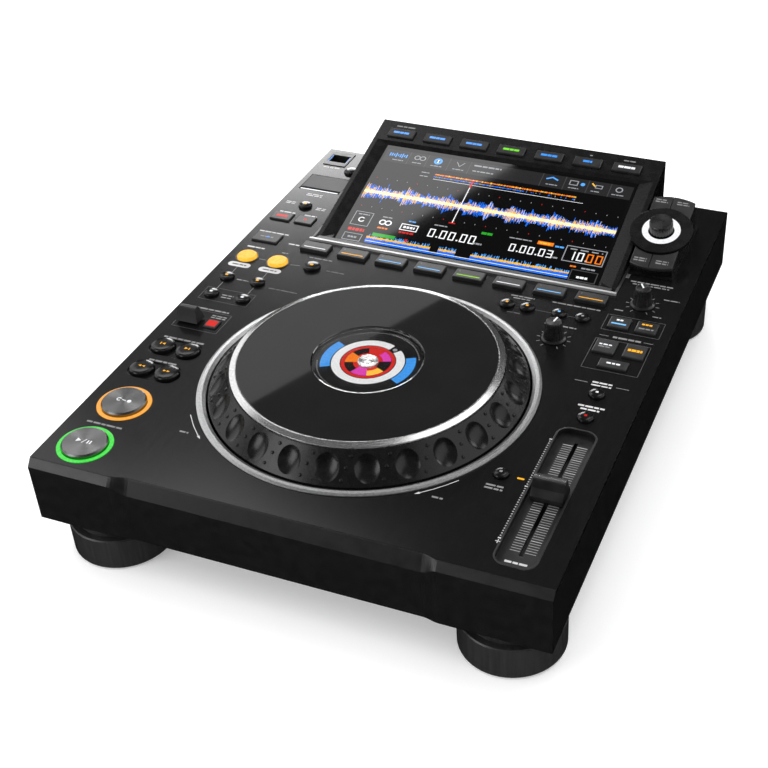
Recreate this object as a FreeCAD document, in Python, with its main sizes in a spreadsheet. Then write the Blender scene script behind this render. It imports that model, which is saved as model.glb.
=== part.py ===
import FreeCAD, Part
import math
import os
import re
import Sketcher

# A tabletop disc-jockey media player. Millimetres, +Z up, the origin on the surface it stands on,
# in the middle of its width and depth. The front, nearest to the user, faces -Y.

doc = FreeCAD.newDocument("media_player")
sheet = doc.addObject("Spreadsheet::Sheet", "Sizes")

# Driving dimensions: name, value and what it is.
SIZES = [
    ("case_width", 329.0, "left side to right side"),
    ("case_front", 213.1, "front face ahead of the origin"),
    ("case_rear", 208.9, "rear wall behind the origin"),
    ("case_bottom", 32.2, "underside of the case above the table"),
    ("panel_top", 77.2, "control panel above the table"),
    ("panel_thick", 3.0, "control panel plate"),
    ("cut_over", 1.0, "how far a cut runs past a face"),
    ("snug_gap", 0.1, "clearance of a piece fixed in its seat"),
    ("wall", 2.5, "case side and rear walls"),
    ("bevel_run", 4.1, "front bevel, front to back"),
    ("bevel_rise", 5.1, "front bevel height at both ends"),
    ("middle_run", 4.6, "front bevel run in the middle"),
    ("middle_rise", 10.3, "front bevel height in the middle"),
    ("middle_set_back", 1.7, "middle of the front face behind its ends"),
    ("middle_left", 98.0, "left end of the set back middle"),
    ("middle_right", 88.0, "right end of the set back middle"),
    ("blend_left", 12.0, "width of the left transition"),
    ("blend_right", 9.5, "width of the right transition"),
    ("front_bar_depth", 14.0, "height of the front bar"),
    ("front_bar_thick", 6.0, "front bar, front to back"),
    ("base_thick", 1.5, "steel base plate"),
    ("fit_gap", 0.3, "clearance between separate pieces"),
    ("boss_radius", 4.0, "screw boss"),
    ("boss_inset", 3.5, "screw boss axis from the inner wall"),
    ("boss_height", 18.0, "screw boss length"),
    ("screw_radius", 1.5, "case screw"),
    ("screw_length", 9.0, "case screw below its head"),
    ("screw_head_radius", 2.8, "case screw head"),
    ("screw_head", 1.4, "case screw head height"),
    ("screw_fit", 0.05, "thread clearance of a case screw"),
    ("foot_in", 34.4, "from the sides: foot axis"),
    ("foot_y_front", 180.7, "front feet ahead of the origin"),
    ("foot_y_rear", 163.0, "rear feet behind the origin"),
    ("foot_radius", 32.4, "foot cup"),
    ("foot_cup_top", 23.5, "top of the cup above the table"),
    ("foot_round", 1.0, "bevel round the foot of the cup"),
    ("foot_lip", 0.8, "bevel round the top of the cup"),
    ("foot_pad_round", 0.6, "bevel round the rubber pad"),
    ("foot_neck_radius", 27.5, "neck between the cup and the case"),
    ("foot_pad_radius", 28.0, "rubber pad"),
    ("foot_pad_thick", 2.5, "rubber pad"),
    ("foot_pad_proud", 0.8, "rubber pad below the cup"),
    ("rear_window_width", 272.0, "opening in the rear wall"),
    ("rear_window_low", 39.0, "lower edge of the rear opening"),
    ("rear_window_high", 68.0, "upper edge of the rear opening"),
    ("rear_plate_lap", 3.0, "rear plate behind the wall around the opening"),
    ("rear_plate_thick", 1.2, "rear connector plate"),
    ("rear_reach", 213.1, "rear end of the connectors"),
    ("jog_x", -2.6, "jog wheel axis"),
    ("jog_y", -75.1, "jog wheel axis"),
    ("bezel_side", 55.5, "from half the width: outer radius of the fixed ring"),
    ("bezel_width", 5.9, "fixed ring, inner edge to outer edge"),
    ("bezel_high", 1.5, "fixed ring above the panel"),
    ("bezel_edge", 0.7, "outer edge of the fixed ring"),
    ("bezel_round", 1.5, "sloping outer edge of the fixed ring"),
    ("bezel_fall", 2.2, "sloping inner edge of the fixed ring"),
    ("bezel_inner_high", 0.1, "inner edge of the fixed ring above the panel"),
    ("bezel_lip", 3.0, "fixed ring beyond the hole in the panel"),
    ("jog_gap", 1.45, "running gap round the jog wheel"),
    ("jog_rim_low", 0.7, "foot of the sloping rim above the panel"),
    ("jog_rim_run", 14.65, "sloping rim, foot to top across"),
    ("jog_rim_high", 16.6, "top of the sloping rim above the panel"),
    ("jog_skirt", 6.0, "rim below the panel"),
    ("jog_web_top", 15.4, "seat of the top plate above the panel"),
    ("jog_web_thick", 3.0, "web of the wheel"),
    ("jog_wall", 3.6, "rim wall"),
    ("trim_inset", 0.7, "bright ring inside the top of the rim"),
    ("trim_width", 4.2, "bright ring"),
    ("trim_outer_high", 17.9, "outer edge of the bright ring above the panel"),
    ("trim_flat", 0.6, "flat top of the bright ring"),
    ("plate_fit", 0.2, "top plate inside the bright ring"),
    ("plate_round", 0.3, "bevel round the top plate"),
    ("lens_round", 0.5, "bevel round the round display"),
    ("lens_step", 0.8, "recess of the wheel beyond the top plate's opening"),
    ("web_step", 3.0, "wall round the recess of the wheel"),
    ("plate_high", 19.0, "top plate above the panel"),
    ("plate_drop", 0.1, "top plate below the edge of the bright ring"),
    ("dimple_count", 25, "finger dimples round the rim"),
    ("dimple_start", 279.2, "angle of the first dimple"),
    ("dimple_wide", 15.3, "finger dimple across"),
    ("dimple_long", 17.6, "finger dimple along the slope"),
    ("dimple_deep", 2.3, "finger dimple"),
    ("display_hole", 35.5, "opening in the middle of the top plate"),
    ("jog_display_radius", 34.7, "round display in the wheel"),
    ("jog_display_high", 16.0, "round display above the panel"),
    ("jog_display_thick", 4.4, "round display"),
    ("display_gap", 0.6, "running gap under the round display"),
    ("post_radius", 12.0, "fixed post"),
    ("post_foot_radius", 15.0, "shoulder under the bearing"),
    ("post_gap", 0.5, "hub round the post"),
    ("bearing_outer", 20.0, "bearing"),
    ("bearing_low", 16.0, "bearing below the panel"),
    ("bearing_high", 8.0, "top of the bearing below the panel"),
    ("bearing_fit", 0.05, "radial clearance on both sides of the bearing"),
    ("hub_wall", 6.0, "hub of the wheel"),
    ("hub_lap", 2.0, "hub below the bearing"),
    ("cup_gap", 0.4, "fixed cup beyond the fixed ring's inner edge"),
    ("cup_wall", 2.0, "fixed cup"),
    ("cup_reach", 3.0, "flange of the fixed cup beyond the fixed ring"),
    ("cup_flange_thick", 2.0, "flange of the fixed cup"),
    ("cup_depth", 30.0, "underside of the fixed cup below the panel"),
    ("cup_floor", 3.0, "floor of the fixed cup"),
    ("display_tilt", 14.5, "slope of the display"),
    ("display_front", 79.0, "front edge of the display"),
    ("display_side", 49.8, "from the sides: display housing"),
    ("display_run", 135.0, "display housing along its slope"),
    ("display_wall", 2.5, "display housing"),
    ("display_rim", 1.0, "flat rim round the sloping frame"),
    ("glass_deep", 1.5, "glass below the rim"),
    ("glass_side", 13.7, "display beyond the touch glass at each side"),
    ("glass_start", 1.6, "front edge of the glass along the slope"),
    ("glass_end", 108.0, "rear edge of the glass along the slope"),
    ("glass_thick", 1.2, "touch glass"),
    ("key_bar_start", 112.0, "front edge of the key bar along the slope"),
    ("tub_lap", 1.5, "display housing in the panel's opening, beyond the glass"),
    ("lcd_thick", 7.0, "panel under the glass"),
    ("display_key_extra", 5.3, "last key's axis further from the end of the key bar"),
    ("lcd_margin", 3.0, "panel inside the edge of the glass"),
    ("display_key_count", 7, "keys in the key bar"),
    ("display_key_end", 20.7, "first key's axis from the end of the key bar"),
    ("display_key_space", 8.85, "space between keys in the key bar"),
    ("display_key_start", 116.0, "front edge of the keys along the slope"),
    ("display_key_long", 9.0, "key along the slope"),
    ("display_key_high", 1.8, "key above the key bar"),
    ("frame_proud", 2.1, "bright frame beyond the display"),
    ("frame_front", 71.4, "front edge of the bright frame"),
    ("frame_high", 2.0, "front bar of the bright frame"),
    ("frame_bar", 1.8, "front bar of the bright frame"),
    ("frame_step", 0.6, "step between the front bar and the display"),
    ("frame_short", 3.0, "steps shorter than the frame at each side"),
    ("pod_lean", 13.9, "selector axis from the left side of its housing"),
    ("pod_y", 136.0, "selector axis"),
    ("pod_high", 19.0, "selector ring above the panel"),
    ("pod_tilt", 15.0, "slope of the selector"),
    ("pod_reach", 16.4, "right side of the selector housing from its axis"),
    ("pod_half_long", 36.5, "selector housing along its slope"),
    ("pod_bulge", 3.0, "rounding of the selector housing's ends"),
    ("pod_ring", 22.25, "glossy ring"),
    ("pod_ring_thick", 3.0, "glossy ring"),
    ("pod_ring_rise", 1.5, "glossy ring above the keys"),
    ("pod_flange", 1.4, "foot flange of the selector housing"),
    ("pod_flange_run", 6.0, "foot flange longer than the sloping housing"),
    ("pod_flange_thick", 1.2, "foot flange of the selector housing"),
    ("pod_light", 13.65, "lit ring"),
    ("pod_light_inner", 9.4, "lit ring"),
    ("pod_light_deep", 1.2, "seat of the lit ring"),
    ("pod_light_fit", 0.05, "clearance round the lit ring"),
    ("selector_fit", 0.06, "clearance round the selector shaft"),
    ("selector_radius", 8.4, "selector knob"),
    ("selector_high", 8.5, "selector knob above the ring"),
    ("selector_flutes", 24, "grooves round the selector knob"),
    ("selector_groove", 0.6, "radius of a groove in the selector knob"),
    ("selector_groove_out", 0.2, "axis of a groove outside the knob"),
    ("selector_round", 0.8, "bevel round the selector knob"),
    ("selector_lap", 2.0, "shaft inside the knob"),
    ("selector_press", 0.8, "travel of the selector knob"),
    ("selector_shaft", 3.0, "selector shaft"),
    ("selector_shaft_long", 12.0, "selector shaft below the ring"),
    ("pod_key_thick", 2.6, "selector keys"),
    ("pod_key_press", 0.7, "travel of the selector keys"),
    ("tray_in", 27.75, "from the right side: fader tray"),
    ("tray_y", -138.55, "fader tray"),
    ("tray_width", 23.5, "fader tray"),
    ("tray_long", 122.5, "fader tray"),
    ("tray_round", 7.0, "corner radius of the fader tray"),
    ("tray_deep", 4.0, "fader tray floor below the panel"),
    ("tray_floor", 1.5, "fader tray floor"),
    ("tray_wall", 1.2, "fader tray wall"),
    ("tray_flange", 2.5, "fader tray flange under the panel"),
    ("slot_in", 27.1, "from the right side: fader slot"),
    ("slot_y", -136.4, "middle of the fader slot"),
    ("slot_width", 2.2, "fader slot"),
    ("fader_travel", 48.0, "fader cap each way from the middle"),
    ("stem_long", 6.0, "fader stem along the slot"),
    ("stem_thick", 1.2, "fader stem across the slot"),
    ("cap_width", 19.5, "fader cap"),
    ("cap_long", 14.0, "fader cap along the slot"),
    ("cap_top_long", 5.0, "ridge of the fader cap"),
    ("cap_high", 10.0, "ridge of the fader cap above the panel"),
    ("cap_low", 3.0, "underside of the fader cap below the panel"),
    ("fader_unit_width", 13.0, "slide control"),
    ("fader_unit_deep", 10.0, "slide control"),
    ("fader_unit_over", 5.0, "slide control beyond the slot at each end"),
    ("fader_unit_floor", 1.5, "floor of the slide control"),
    ("stem_lift", 2.5, "end of the fader stem above the bottom of the slide control"),
    ("cap_wall", 3.0, "upright foot of the fader cap"),
    ("cap_waist", 0.45, "share of the height where the cap narrows"),
    ("cap_slope", 1.6, "ridge wider at the waist"),
    ("key_gap", 0.35, "clearance round a key in the panel"),
    ("key_flange", 1.2, "key flange under the panel"),
    ("key_flange_thick", 1.2, "key flange"),
    ("key_bevel", 0.5, "bevel round a key's top"),
    ("key_stem", 1.4, "stem of a key"),
    ("board_top", 12.0, "key board below the panel's top"),
    ("board_thick", 1.6, "circuit boards"),
    ("board_post", 2.0, "radius of a post over a key board"),
    ("board_clear_left", 2.4, "left key board from the fixed cup"),
    ("board_reach", 9.0, "key board beyond a button's axis"),
    ("board_behind", 5.0, "rear key board ahead of the display"),
    ("board_clear_right", 3.6, "right key board from the fixed cup"),
    ("board_margin", 2.0, "key boards from the side walls"),
    ("switch_high", 4.0, "key switch above its board"),
    ("switch_width", 6.0, "key switch"),
    ("travel_small", 0.6, "travel of the small round buttons and the flat keys"),
    ("travel_large", 1.0, "travel of the two large buttons"),
    ("travel_pad", 0.8, "travel of the pad keys and the round transport buttons"),
    ("large_radius", 14.2, "large buttons"),
    ("large_high", 2.8, "large buttons above the panel"),
    ("large_ring", 17.2, "lit ring round a large button"),
    ("large_ring_inner", 14.7, "lit ring round a large button"),
    ("cue_in", 25.5, "from the left side: cue button"),
    ("cue_y", -145.5, "cue button"),
    ("play_in", 25.1, "from the left side: play button"),
    ("play_y", -188.5, "play button"),
    ("transport_radius", 8.0, "track and search buttons"),
    ("transport_high", 2.0, "track and search buttons"),
    ("transport_left_in", 16.3, "from the left side: left buttons"),
    ("transport_right_in", 34.9, "from the left side: right buttons"),
    ("track_y", -83.3, "track buttons"),
    ("search_y", -109.7, "search buttons"),
    ("transport_recess", 0.8, "recess round the track and search buttons"),
    ("transport_margin", 1.2, "recess beyond the buttons"),
    ("loop_radius", 7.3, "loop buttons"),
    ("loop_ring", 8.7, "lit ring round a loop button"),
    ("loop_ring_inner", 7.7, "lit ring round a loop button"),
    ("loop_in_in", 15.1, "from the left side: loop start button"),
    ("loop_out_in", 39.8, "from the left side: loop end button"),
    ("loop_y", 35.6, "loop buttons"),
    ("loop_high", 2.2, "loop buttons above the panel"),
    ("reloop_in", 66.5, "from the left side: loop return button"),
    ("reloop_y", 37.0, "loop return button"),
    ("reloop_radius", 6.0, "loop return button"),
    ("ring_proud", 0.5, "lit rings above the panel"),
    ("ring_round", 0.2, "bevel of the lit rings"),
    ("ring_flange", 0.9, "lit ring flange under the panel"),
    ("pad_count", 8, "pad keys"),
    ("pad_end", 8.3, "first pad key's axis from the end of the display"),
    ("pad_space", 8.35, "space between pad keys"),
    ("pad_y", 61.4, "pad keys"),
    ("pad_last", 12.15, "last pad key's axis from the end of the display"),
    ("pad_long", 10.8, "pad key"),
    ("pad_high", 2.5, "pad key above the panel"),
    ("flat_high", 1.4, "flat keys above the panel"),
    ("small_high", 2.0, "small round buttons above the panel"),
    ("knob_radius", 7.0, "small knob at its foot"),
    ("knob_top_radius", 5.4, "small knob at its top"),
    ("knob_high", 14.0, "small knob above the panel"),
    ("knob_flutes", 18, "grooves round a small knob"),
    ("knob_groove", 0.55, "radius of a groove in a small knob"),
    ("knob_groove_out", 0.25, "axis of a groove outside the knob"),
    ("knob_skirt_high", 0.8, "skirt of a small knob"),
    ("knob_neck", 1.8, "foot of a small knob's taper"),
    ("knob_round", 0.6, "bevel round a small knob"),
    ("knob_shaft", 3.0, "small knob's shaft"),
    ("knob_shaft_gap", 0.35, "panel round the shaft"),
    ("knob_skirt", 8.2, "skirt of a small knob"),
    ("speed_in", 72.2, "from the right side: start and stop speed knob"),
    ("speed_y", 9.0, "start and stop speed knob"),
    ("release_in", 27.5, "from the right side: vinyl speed knob"),
    ("release_y", 66.5, "vinyl speed knob"),
    ("lever_in", 17.5, "from the left side: direction lever"),
    ("lever_y", -50.0, "direction lever"),
    ("lever_width", 16.5, "direction lever at its foot"),
    ("lever_long", 10.0, "direction lever at its foot"),
    ("lever_top_width", 13.0, "direction lever at its top"),
    ("lever_top_long", 4.0, "direction lever at its top"),
    ("lever_high", 11.5, "direction lever above the panel"),
    ("lever_gap", 1.4, "direction lever's foot above the panel"),
    ("lever_swing", 10.0, "direction lever each way, degrees"),
    ("lever_pivot", 6.0, "lever pivot below the panel's top"),
    ("lever_pin", 2.5, "lever pivot radius"),
    ("lever_stem_width", 8.0, "lever stem"),
    ("lever_stem_thick", 3.0, "lever stem"),
    ("usb_in", 14.6, "from the left side: socket on the panel"),
    ("usb_y", 193.6, "socket on the panel"),
    ("usb_width", 19.1, "lit frame of the socket"),
    ("usb_long", 21.8, "lit frame of the socket"),
    ("usb_well_width", 16.0, "well of the socket"),
    ("usb_well_long", 11.4, "well of the socket"),
    ("usb_well_deep", 6.0, "well of the socket"),
    ("usb_deep", 18.0, "socket below the panel"),
    ("usb_proud", 0.6, "socket above the panel"),
    ("usb_lip", 1.5, "flange of the socket under the panel"),
    ("usb_floor", 2.0, "floor of the socket"),
    ("usb_tongue_gap", 0.8, "contact tongue from the rear of its opening"),
    ("usb_tongue_width", 11.1, "contact tongue"),
    ("usb_tongue_thick", 1.9, "contact tongue"),
    ("usb_shell_width", 12.6, "opening of the socket"),
    ("usb_shell_long", 5.2, "opening of the socket"),
    ("sd_in", 21.65, "from the left side: card recess"),
    ("sd_y", 152.25, "card recess"),
    ("sd_width", 34.3, "card recess"),
    ("sd_long", 24.5, "card recess"),
    ("sd_step", 4.5, "open strip in front of the lid"),
    ("sd_lid_thick", 1.5, "card lid"),
    ("sd_slit_width", 25.0, "card slit"),
    ("sd_slit_long", 2.8, "card slit"),
    ("sd_deep", 14.0, "card socket below the panel"),
    ("sd_floor", 4.5, "card recess floor below the panel"),
    ("sd_wall", 1.2, "walls of the card socket"),
    ("sd_bottom", 1.0, "floor of the card socket"),
    ("sd_ear_inset", 1.5, "ear under the hinge from the side of the recess"),
    ("sd_ear_half", 0.9, "half width of an ear"),
    ("sd_ear_long", 2.1, "ear in front of the hinge axis"),
    ("sd_sink", 0.1, "ear let into the floor"),
    ("sd_hinge_inset", 2.2, "lid hinge axis from the lid's rear edge"),
    ("sd_hinge_radius", 0.7, "lid hinge pin"),
    ("main_board_spare", 139.0, "case wider than the main circuit board"),
    ("main_board_long", 150.0, "main circuit board"),
    ("main_board_y", 92.0, "main circuit board"),
    ("main_board_side", 29.5, "from the right side: main circuit board"),
    ("supply_width", 70.0, "power supply"),
    ("supply_long", 140.0, "power supply"),
    ("supply_in", 60.5, "from the left side: power supply"),
    ("supply_y", 92.0, "power supply"),
    ("transformer_width", 30.0, "transformer"),
    ("transformer_front", 20.0, "transformer ahead of the board's middle"),
    ("transformer_rear", 10.0, "transformer behind the board's middle"),
    ("transformer_high", 20.0, "transformer"),
    ("capacitor_x", 20.0, "capacitors from the board's middle"),
    ("capacitor_y", 40.0, "capacitors behind the board's middle"),
    ("capacitor_large", 9.0, "large capacitor"),
    ("capacitor_large_high", 22.0, "large capacitor"),
    ("capacitor_small", 6.0, "small capacitor"),
    ("capacitor_small_high", 18.0, "small capacitor"),
    ("sink_x", 25.0, "heat sink from the board's middle"),
    ("sink_thick", 6.0, "heat sink"),
    ("sink_front", 55.0, "heat sink ahead of the board's middle"),
    ("sink_rear", 15.0, "heat sink behind the board's middle"),
    ("sink_high", 18.0, "heat sink"),
    ("chip_high", 2.0, "chips"),
    ("standoff_high", 5.0, "standoffs on the base plate"),
    ("standoff_radius", 3.0, "standoffs on the base plate"),
    ("standoff_inset", 6.0, "standoffs from a board's corner"),
    ("power_x", 118.0, "power button"),
    ("power_width", 12.0, "power button"),
    ("power_tall", 9.0, "power button"),
    ("power_travel", 2.5, "power button"),
    ("button_proud", 1.0, "power button out when pressed"),
    ("power_rim", 1.5, "rim of the power button"),
    ("power_rim_thick", 2.0, "rim of the power button"),
    ("socket_z", 53.5, "connectors above the table"),
    ("inlet_x", -104.0, "mains inlet"),
    ("inlet_width", 30.0, "mains inlet"),
    ("inlet_tall", 22.0, "mains inlet"),
    ("inlet_well_width", 24.0, "mains inlet well"),
    ("inlet_well_tall", 16.4, "mains inlet well"),
    ("inlet_deep", 20.0, "mains inlet inside the case"),
    ("inlet_proud", 1.5, "mains inlet beyond its plate"),
    ("pin_half_wide", 1.0, "mains pin, half width"),
    ("pin_half_tall", 2.0, "mains pin, half height"),
    ("pin_side", 7.0, "outer pins from the middle"),
    ("pin_low", 2.0, "outer pins below the middle"),
    ("pin_high", 3.0, "middle pin above the middle"),
    ("pin_deep", 7.0, "end of the pins inside the well"),
    ("pin_root", 1.0, "pins let into the floor of the well"),
    ("inlet_well_deep", 17.0, "mains inlet well"),
    ("lan_x", 60.0, "network socket"),
    ("lan_width", 16.0, "network socket"),
    ("lan_tall", 13.5, "network socket"),
    ("lan_well_width", 11.8, "network socket well"),
    ("lan_well_tall", 8.2, "network socket well"),
    ("lan_deep", 16.0, "network socket inside the case"),
    ("lan_floor", 3.0, "floor of the network socket"),
    ("lan_proud", 1.0, "network socket beyond its plate"),
    ("jack_radius", 4.2, "audio sockets"),
    ("jack_nut", 5.6, "audio socket collar"),
    ("jack_bore", 1.7, "audio socket bore"),
    ("jack_deep", 12.0, "audio sockets inside the case"),
    ("jack_floor", 2.0, "floor of an audio socket"),
    ("jack_collar", 1.6, "collar of an audio socket"),
    ("jack_fit", 0.05, "clearance round an audio socket"),
]

# Small round buttons: name, axis from the side of the case, place along Y, and radius.
LEFT_ROUNDS = [("round_a", 33.0, 176.5, 5.4), ("round_b", 22.5, 115.5, 5.0),
               ("call_back", 14.9, 6.0, 5.0), ("call_next", 39.2, 6.0, 5.0),
               ("erase", 15.0, -16.6, 5.0), ("memory", 39.5, -16.6, 5.0)]
RIGHT_ROUNDS = [("cue_loop_back", 114.7, 37.4, 5.0), ("cue_loop_next", 100.2, 37.4, 5.0),
                ("round_c", 77.5, 37.4, 5.0), ("round_d", 61.0, 37.4, 5.0),
                ("tempo_range", 27.8, -40.5, 5.0), ("master_tempo", 27.7, -65.3, 5.0),
                ("tempo_reset", 58.5, -131.3, 4.6)]
# Flat keys: name, middle from the side of the case, place along Y, width and length.
LEFT_KEYS = [("source_a", 13.0, 95.2, 16.0, 10.4), ("source_b", 32.5, 95.2, 14.3, 10.4),
             ("slip", 16.9, 63.5, 20.4, 12.0), ("reverse_lamp", 34.5, -50.5, 9.1, 9.0)]
RIGHT_KEYS = [("jog_mode", 36.1, 39.6, 14.1, 12.8), ("vinyl_mode", 17.3, 39.6, 14.3, 12.8),
              ("beat_short", 37.3, 10.5, 14.5, 15.0), ("beat_long", 17.5, 10.5, 14.0, 15.0),
              ("beat_loop", 27.0, -7.2, 19.0, 9.3)]

# Audio sockets on the rear plate, and chips on the main board: name and place, and a chip's size.
JACKS = [("out_left", -50.0), ("out_right", -34.0), ("digital_out", -10.0), ("remote", 10.0), ("link", 30.0)]
CHIPS = [("processor", -60.0, -40.0, 25.0), ("memory_chip", -10.0, -10.0, 20.0),
         ("decoder", 40.0, 10.0, 18.0), ("clock", 20.0, -55.0, 14.0), ("driver", 60.0, -40.0, 12.0)]

# Sizes that follow from the driving ones.
WORKED_OUT = {
    "foot_x": "case_width / 2 - foot_in",
    "bezel_radius": "case_width / 2 - bezel_side",
    "bezel_inner": "bezel_radius - bezel_width",
    "bezel_seat": "bezel_radius - bezel_lip",
    "jog_radius": "bezel_inner - jog_gap",
    "jog_rim_radius": "jog_radius - jog_rim_run",
    "trim_outer": "jog_rim_radius - trim_inset",
    "trim_inner": "trim_outer - trim_width",
    "cup_inner": "bezel_inner + cup_gap",
    "cup_flange": "bezel_radius + cup_reach",
    "display_width": "case_width - 2 * display_side",
    "glass_width": "display_width - 2 * glass_side",
    "display_key_first": "display_key_end - display_width / 2",
    "display_key_pitch": "(display_width - 2 * display_key_end - display_key_extra)"
                         " / (display_key_count - 1)",
    "display_key_width": "display_key_pitch - display_key_space",
    "pad_first": "pad_end - display_width / 2",
    "pad_pitch": "(display_width - pad_end - pad_last) / (pad_count - 1)",
    "pad_width": "pad_pitch - pad_space",
    "frame_half_width": "display_width / 2 + frame_proud",
    "pod_left": "frame_half_width + fit_gap",
    "pod_x": "pod_left + pod_lean",
    "pod_right": "pod_x + pod_reach",
    "main_board_width": "case_width - main_board_spare",
    "main_board_x": "case_width / 2 - main_board_side - main_board_width / 2",
}
for name in ("cue", "play", "loop_in", "loop_out", "lever", "usb", "sd", "supply", "reloop"):
    WORKED_OUT[name + "_x"] = f"{name}_in - case_width / 2"
for name in ("transport_left", "transport_right"):
    WORKED_OUT[name] = f"{name}_in - case_width / 2"
for name in ("release", "speed", "tray", "slot"):
    WORKED_OUT[name + "_x"] = f"case_width / 2 - {name}_in"

for rounds in (LEFT_ROUNDS, RIGHT_ROUNDS):
    for name, inset, y, radius in rounds:
        SIZES += [(name + "_in", inset, "button"), (name + "_y", y, "button"),
                  (name + "_radius", radius, "button")]
for keys in (LEFT_KEYS, RIGHT_KEYS):
    for name, inset, y, width, length in keys:
        SIZES += [(name + "_in", inset, "key"), (name + "_y", y, "key"),
                  (name + "_width", width, "key"), (name + "_long", length, "key")]
for name, *_ in LEFT_ROUNDS + LEFT_KEYS:
    WORKED_OUT[name + "_x"] = f"{name}_in - case_width / 2"
for name, *_ in RIGHT_ROUNDS + RIGHT_KEYS:
    WORKED_OUT[name + "_x"] = f"case_width / 2 - {name}_in"
SIZES += [(name + "_x", x, "audio socket") for name, x in JACKS]
for name, x, y, size in CHIPS:
    SIZES += [(name + "_x", x, "chip"), (name + "_y", y, "chip"), (name + "_size", size, "chip")]

for row, (alias, value, note) in enumerate(SIZES, start=1):
    sheet.set(f"A{row}", note)
    sheet.set(f"B{row}", str(value))
    sheet.setAlias(f"B{row}", alias)
doc.recompute()

NAME = re.compile(r"\b[a-z][a-z0-9_]*(?![a-z0-9_]*\()")
exports = []


def reference(found):
    name = found.group()
    if name in WORKED_OUT:
        return f"({formula(WORKED_OUT[name])})"
    return "Sizes." + name


def formula(text):
    """A formula in the sheet's names, with each name turned into a reference to its cell."""
    return NAME.sub(reference, str(text))


def number(text):
    """The value of a formula in the sheet's names."""
    return float(sheet.evalExpression(formula(text)))


def bind(item, **properties):
    for name, text in properties.items():
        item.setExpression(name, formula(text))


def place(item, x="0", y="0", z="0", tilt=None):
    """Put an object at a point, and lean it back about X by a number of degrees."""
    for axis, text in zip("xyz", (x, y, z)):
        item.setExpression("Placement.Base." + axis, formula(text))
    if tilt is not None:
        spot = item.Placement.Base
        item.Placement = FreeCAD.Placement(spot, FreeCAD.Rotation(FreeCAD.Vector(1, 0, 0), 1))
        item.setExpression("Placement.Rotation.Angle", formula(tilt))


def node(item, label):
    """Name a finished sub-part and keep it for the export."""
    item.Label = label
    exports.append(item)
    return item


def new_body(name):
    return doc.addObject("PartDesign::Body", name)


def new_sketch(body, role="XY_Plane", lift=None):
    """A sketch on one of the body's own planes, moved along the plane's normal by lift."""
    sketch = body.newObject("Sketcher::SketchObject", body.Name + "_sketch")
    planes = {item.Role: item for item in body.Origin.OriginFeatures}
    sketch.AttachmentSupport = [(planes[role], "")]
    sketch.MapMode = "FlatFace"
    if lift is not None:
        bind(sketch, **{"AttachmentOffset.Base.z": lift})
    return sketch


def tie(sketch, kind, edge, end, text):
    """Hold one end of an edge at a distance from the sketch's origin."""
    index = sketch.addConstraint(Sketcher.Constraint(kind, -1, 1, edge, end, number(text)))
    sketch.setExpression(f"Constraints[{index}]", formula(text))


def polygon(sketch, points):
    """A closed outline of straight lines through points given as pairs of formulas."""
    first = sketch.GeometryCount
    corners = [FreeCAD.Vector(number(u), number(v), 0) for u, v in points]
    for start, end in zip(corners, corners[1:] + corners[:1]):
        sketch.addGeometry(Part.LineSegment(start, end), False)
    for index, (u, v) in enumerate(points):
        after = first + (index + 1) % len(points)
        sketch.addConstraint(Sketcher.Constraint("Coincident", first + index, 2, after, 1))
        tie(sketch, "DistanceX", first + index, 1, u)
        tie(sketch, "DistanceY", first + index, 1, v)
    return sketch


def rectangle(sketch, left, right, low, high):
    return polygon(sketch, [(left, low), (right, low), (right, high), (left, high)])


def circle(sketch, x, y, radius):
    centre = FreeCAD.Vector(number(x), number(y), 0)
    edge = sketch.addGeometry(Part.Circle(centre, FreeCAD.Vector(0, 0, 1), number(radius)), False)
    tie(sketch, "DistanceX", edge, 3, x)
    tie(sketch, "DistanceY", edge, 3, y)
    index = sketch.addConstraint(Sketcher.Constraint("Radius", edge, number(radius)))
    sketch.setExpression(f"Constraints[{index}]", formula(radius))
    return sketch


def pad(body, sketch, length):
    feature = body.newObject("PartDesign::Pad", body.Name + "_pad")
    feature.Profile = sketch
    bind(feature, Length=length)
    return feature


def pocket(body, sketch, length=None):
    """Cut along the sketch's normal, downwards, or through everything."""
    feature = body.newObject("PartDesign::Pocket", body.Name + "_pocket")
    feature.Profile = sketch
    if length is None:
        feature.Type = "ThroughAll"
    else:
        bind(feature, Length=length)
    return feature


def turned(name, points):
    """A body turned about its own Z axis from pairs of radius and height."""
    body = new_body(name)
    feature = body.newObject("PartDesign::Revolution", name + "_turn")
    feature.Profile = polygon(new_sketch(body, "XZ_Plane"), points)
    feature.ReferenceAxis = (feature.Profile[0], ["V_Axis"])
    feature.Angle = 360
    return body


def polar(body, feature, count):
    planes = {item.Role: item for item in body.Origin.OriginFeatures}
    pattern = body.newObject("PartDesign::PolarPattern", body.Name + "_round")
    pattern.Originals = [feature]
    pattern.Axis = (planes["Z_Axis"], [""])
    bind(pattern, Occurrences=count)
    pattern.Angle = 360
    body.Tip = pattern
    return pattern


def bevel(body, size, chosen):
    """Bevel the edges of the body's last feature for which chosen(edge) holds."""
    doc.recompute()
    base = body.Tip
    names = [f"Edge{i}" for i, edge in enumerate(base.Shape.Edges, start=1) if chosen(edge)]
    feature = body.newObject("PartDesign::Chamfer", body.Name + "_bevel")
    feature.Base = (base, names)
    bind(feature, Size=size)
    return feature


def level(height):
    """Chooses edges that lie at one height."""
    z = number(height)
    return lambda edge: all(abs(corner.Z - z) < 0.001 for corner in edge.Vertexes)


def box(name, x0, x1, y0, y1, z0, z1):
    item = doc.addObject("Part::Box", name)
    bind(item, Length=f"({x1}) - ({x0})", Width=f"({y1}) - ({y0})", Height=f"({z1}) - ({z0})")
    place(item, x0, y0, z0)
    return item


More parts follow.
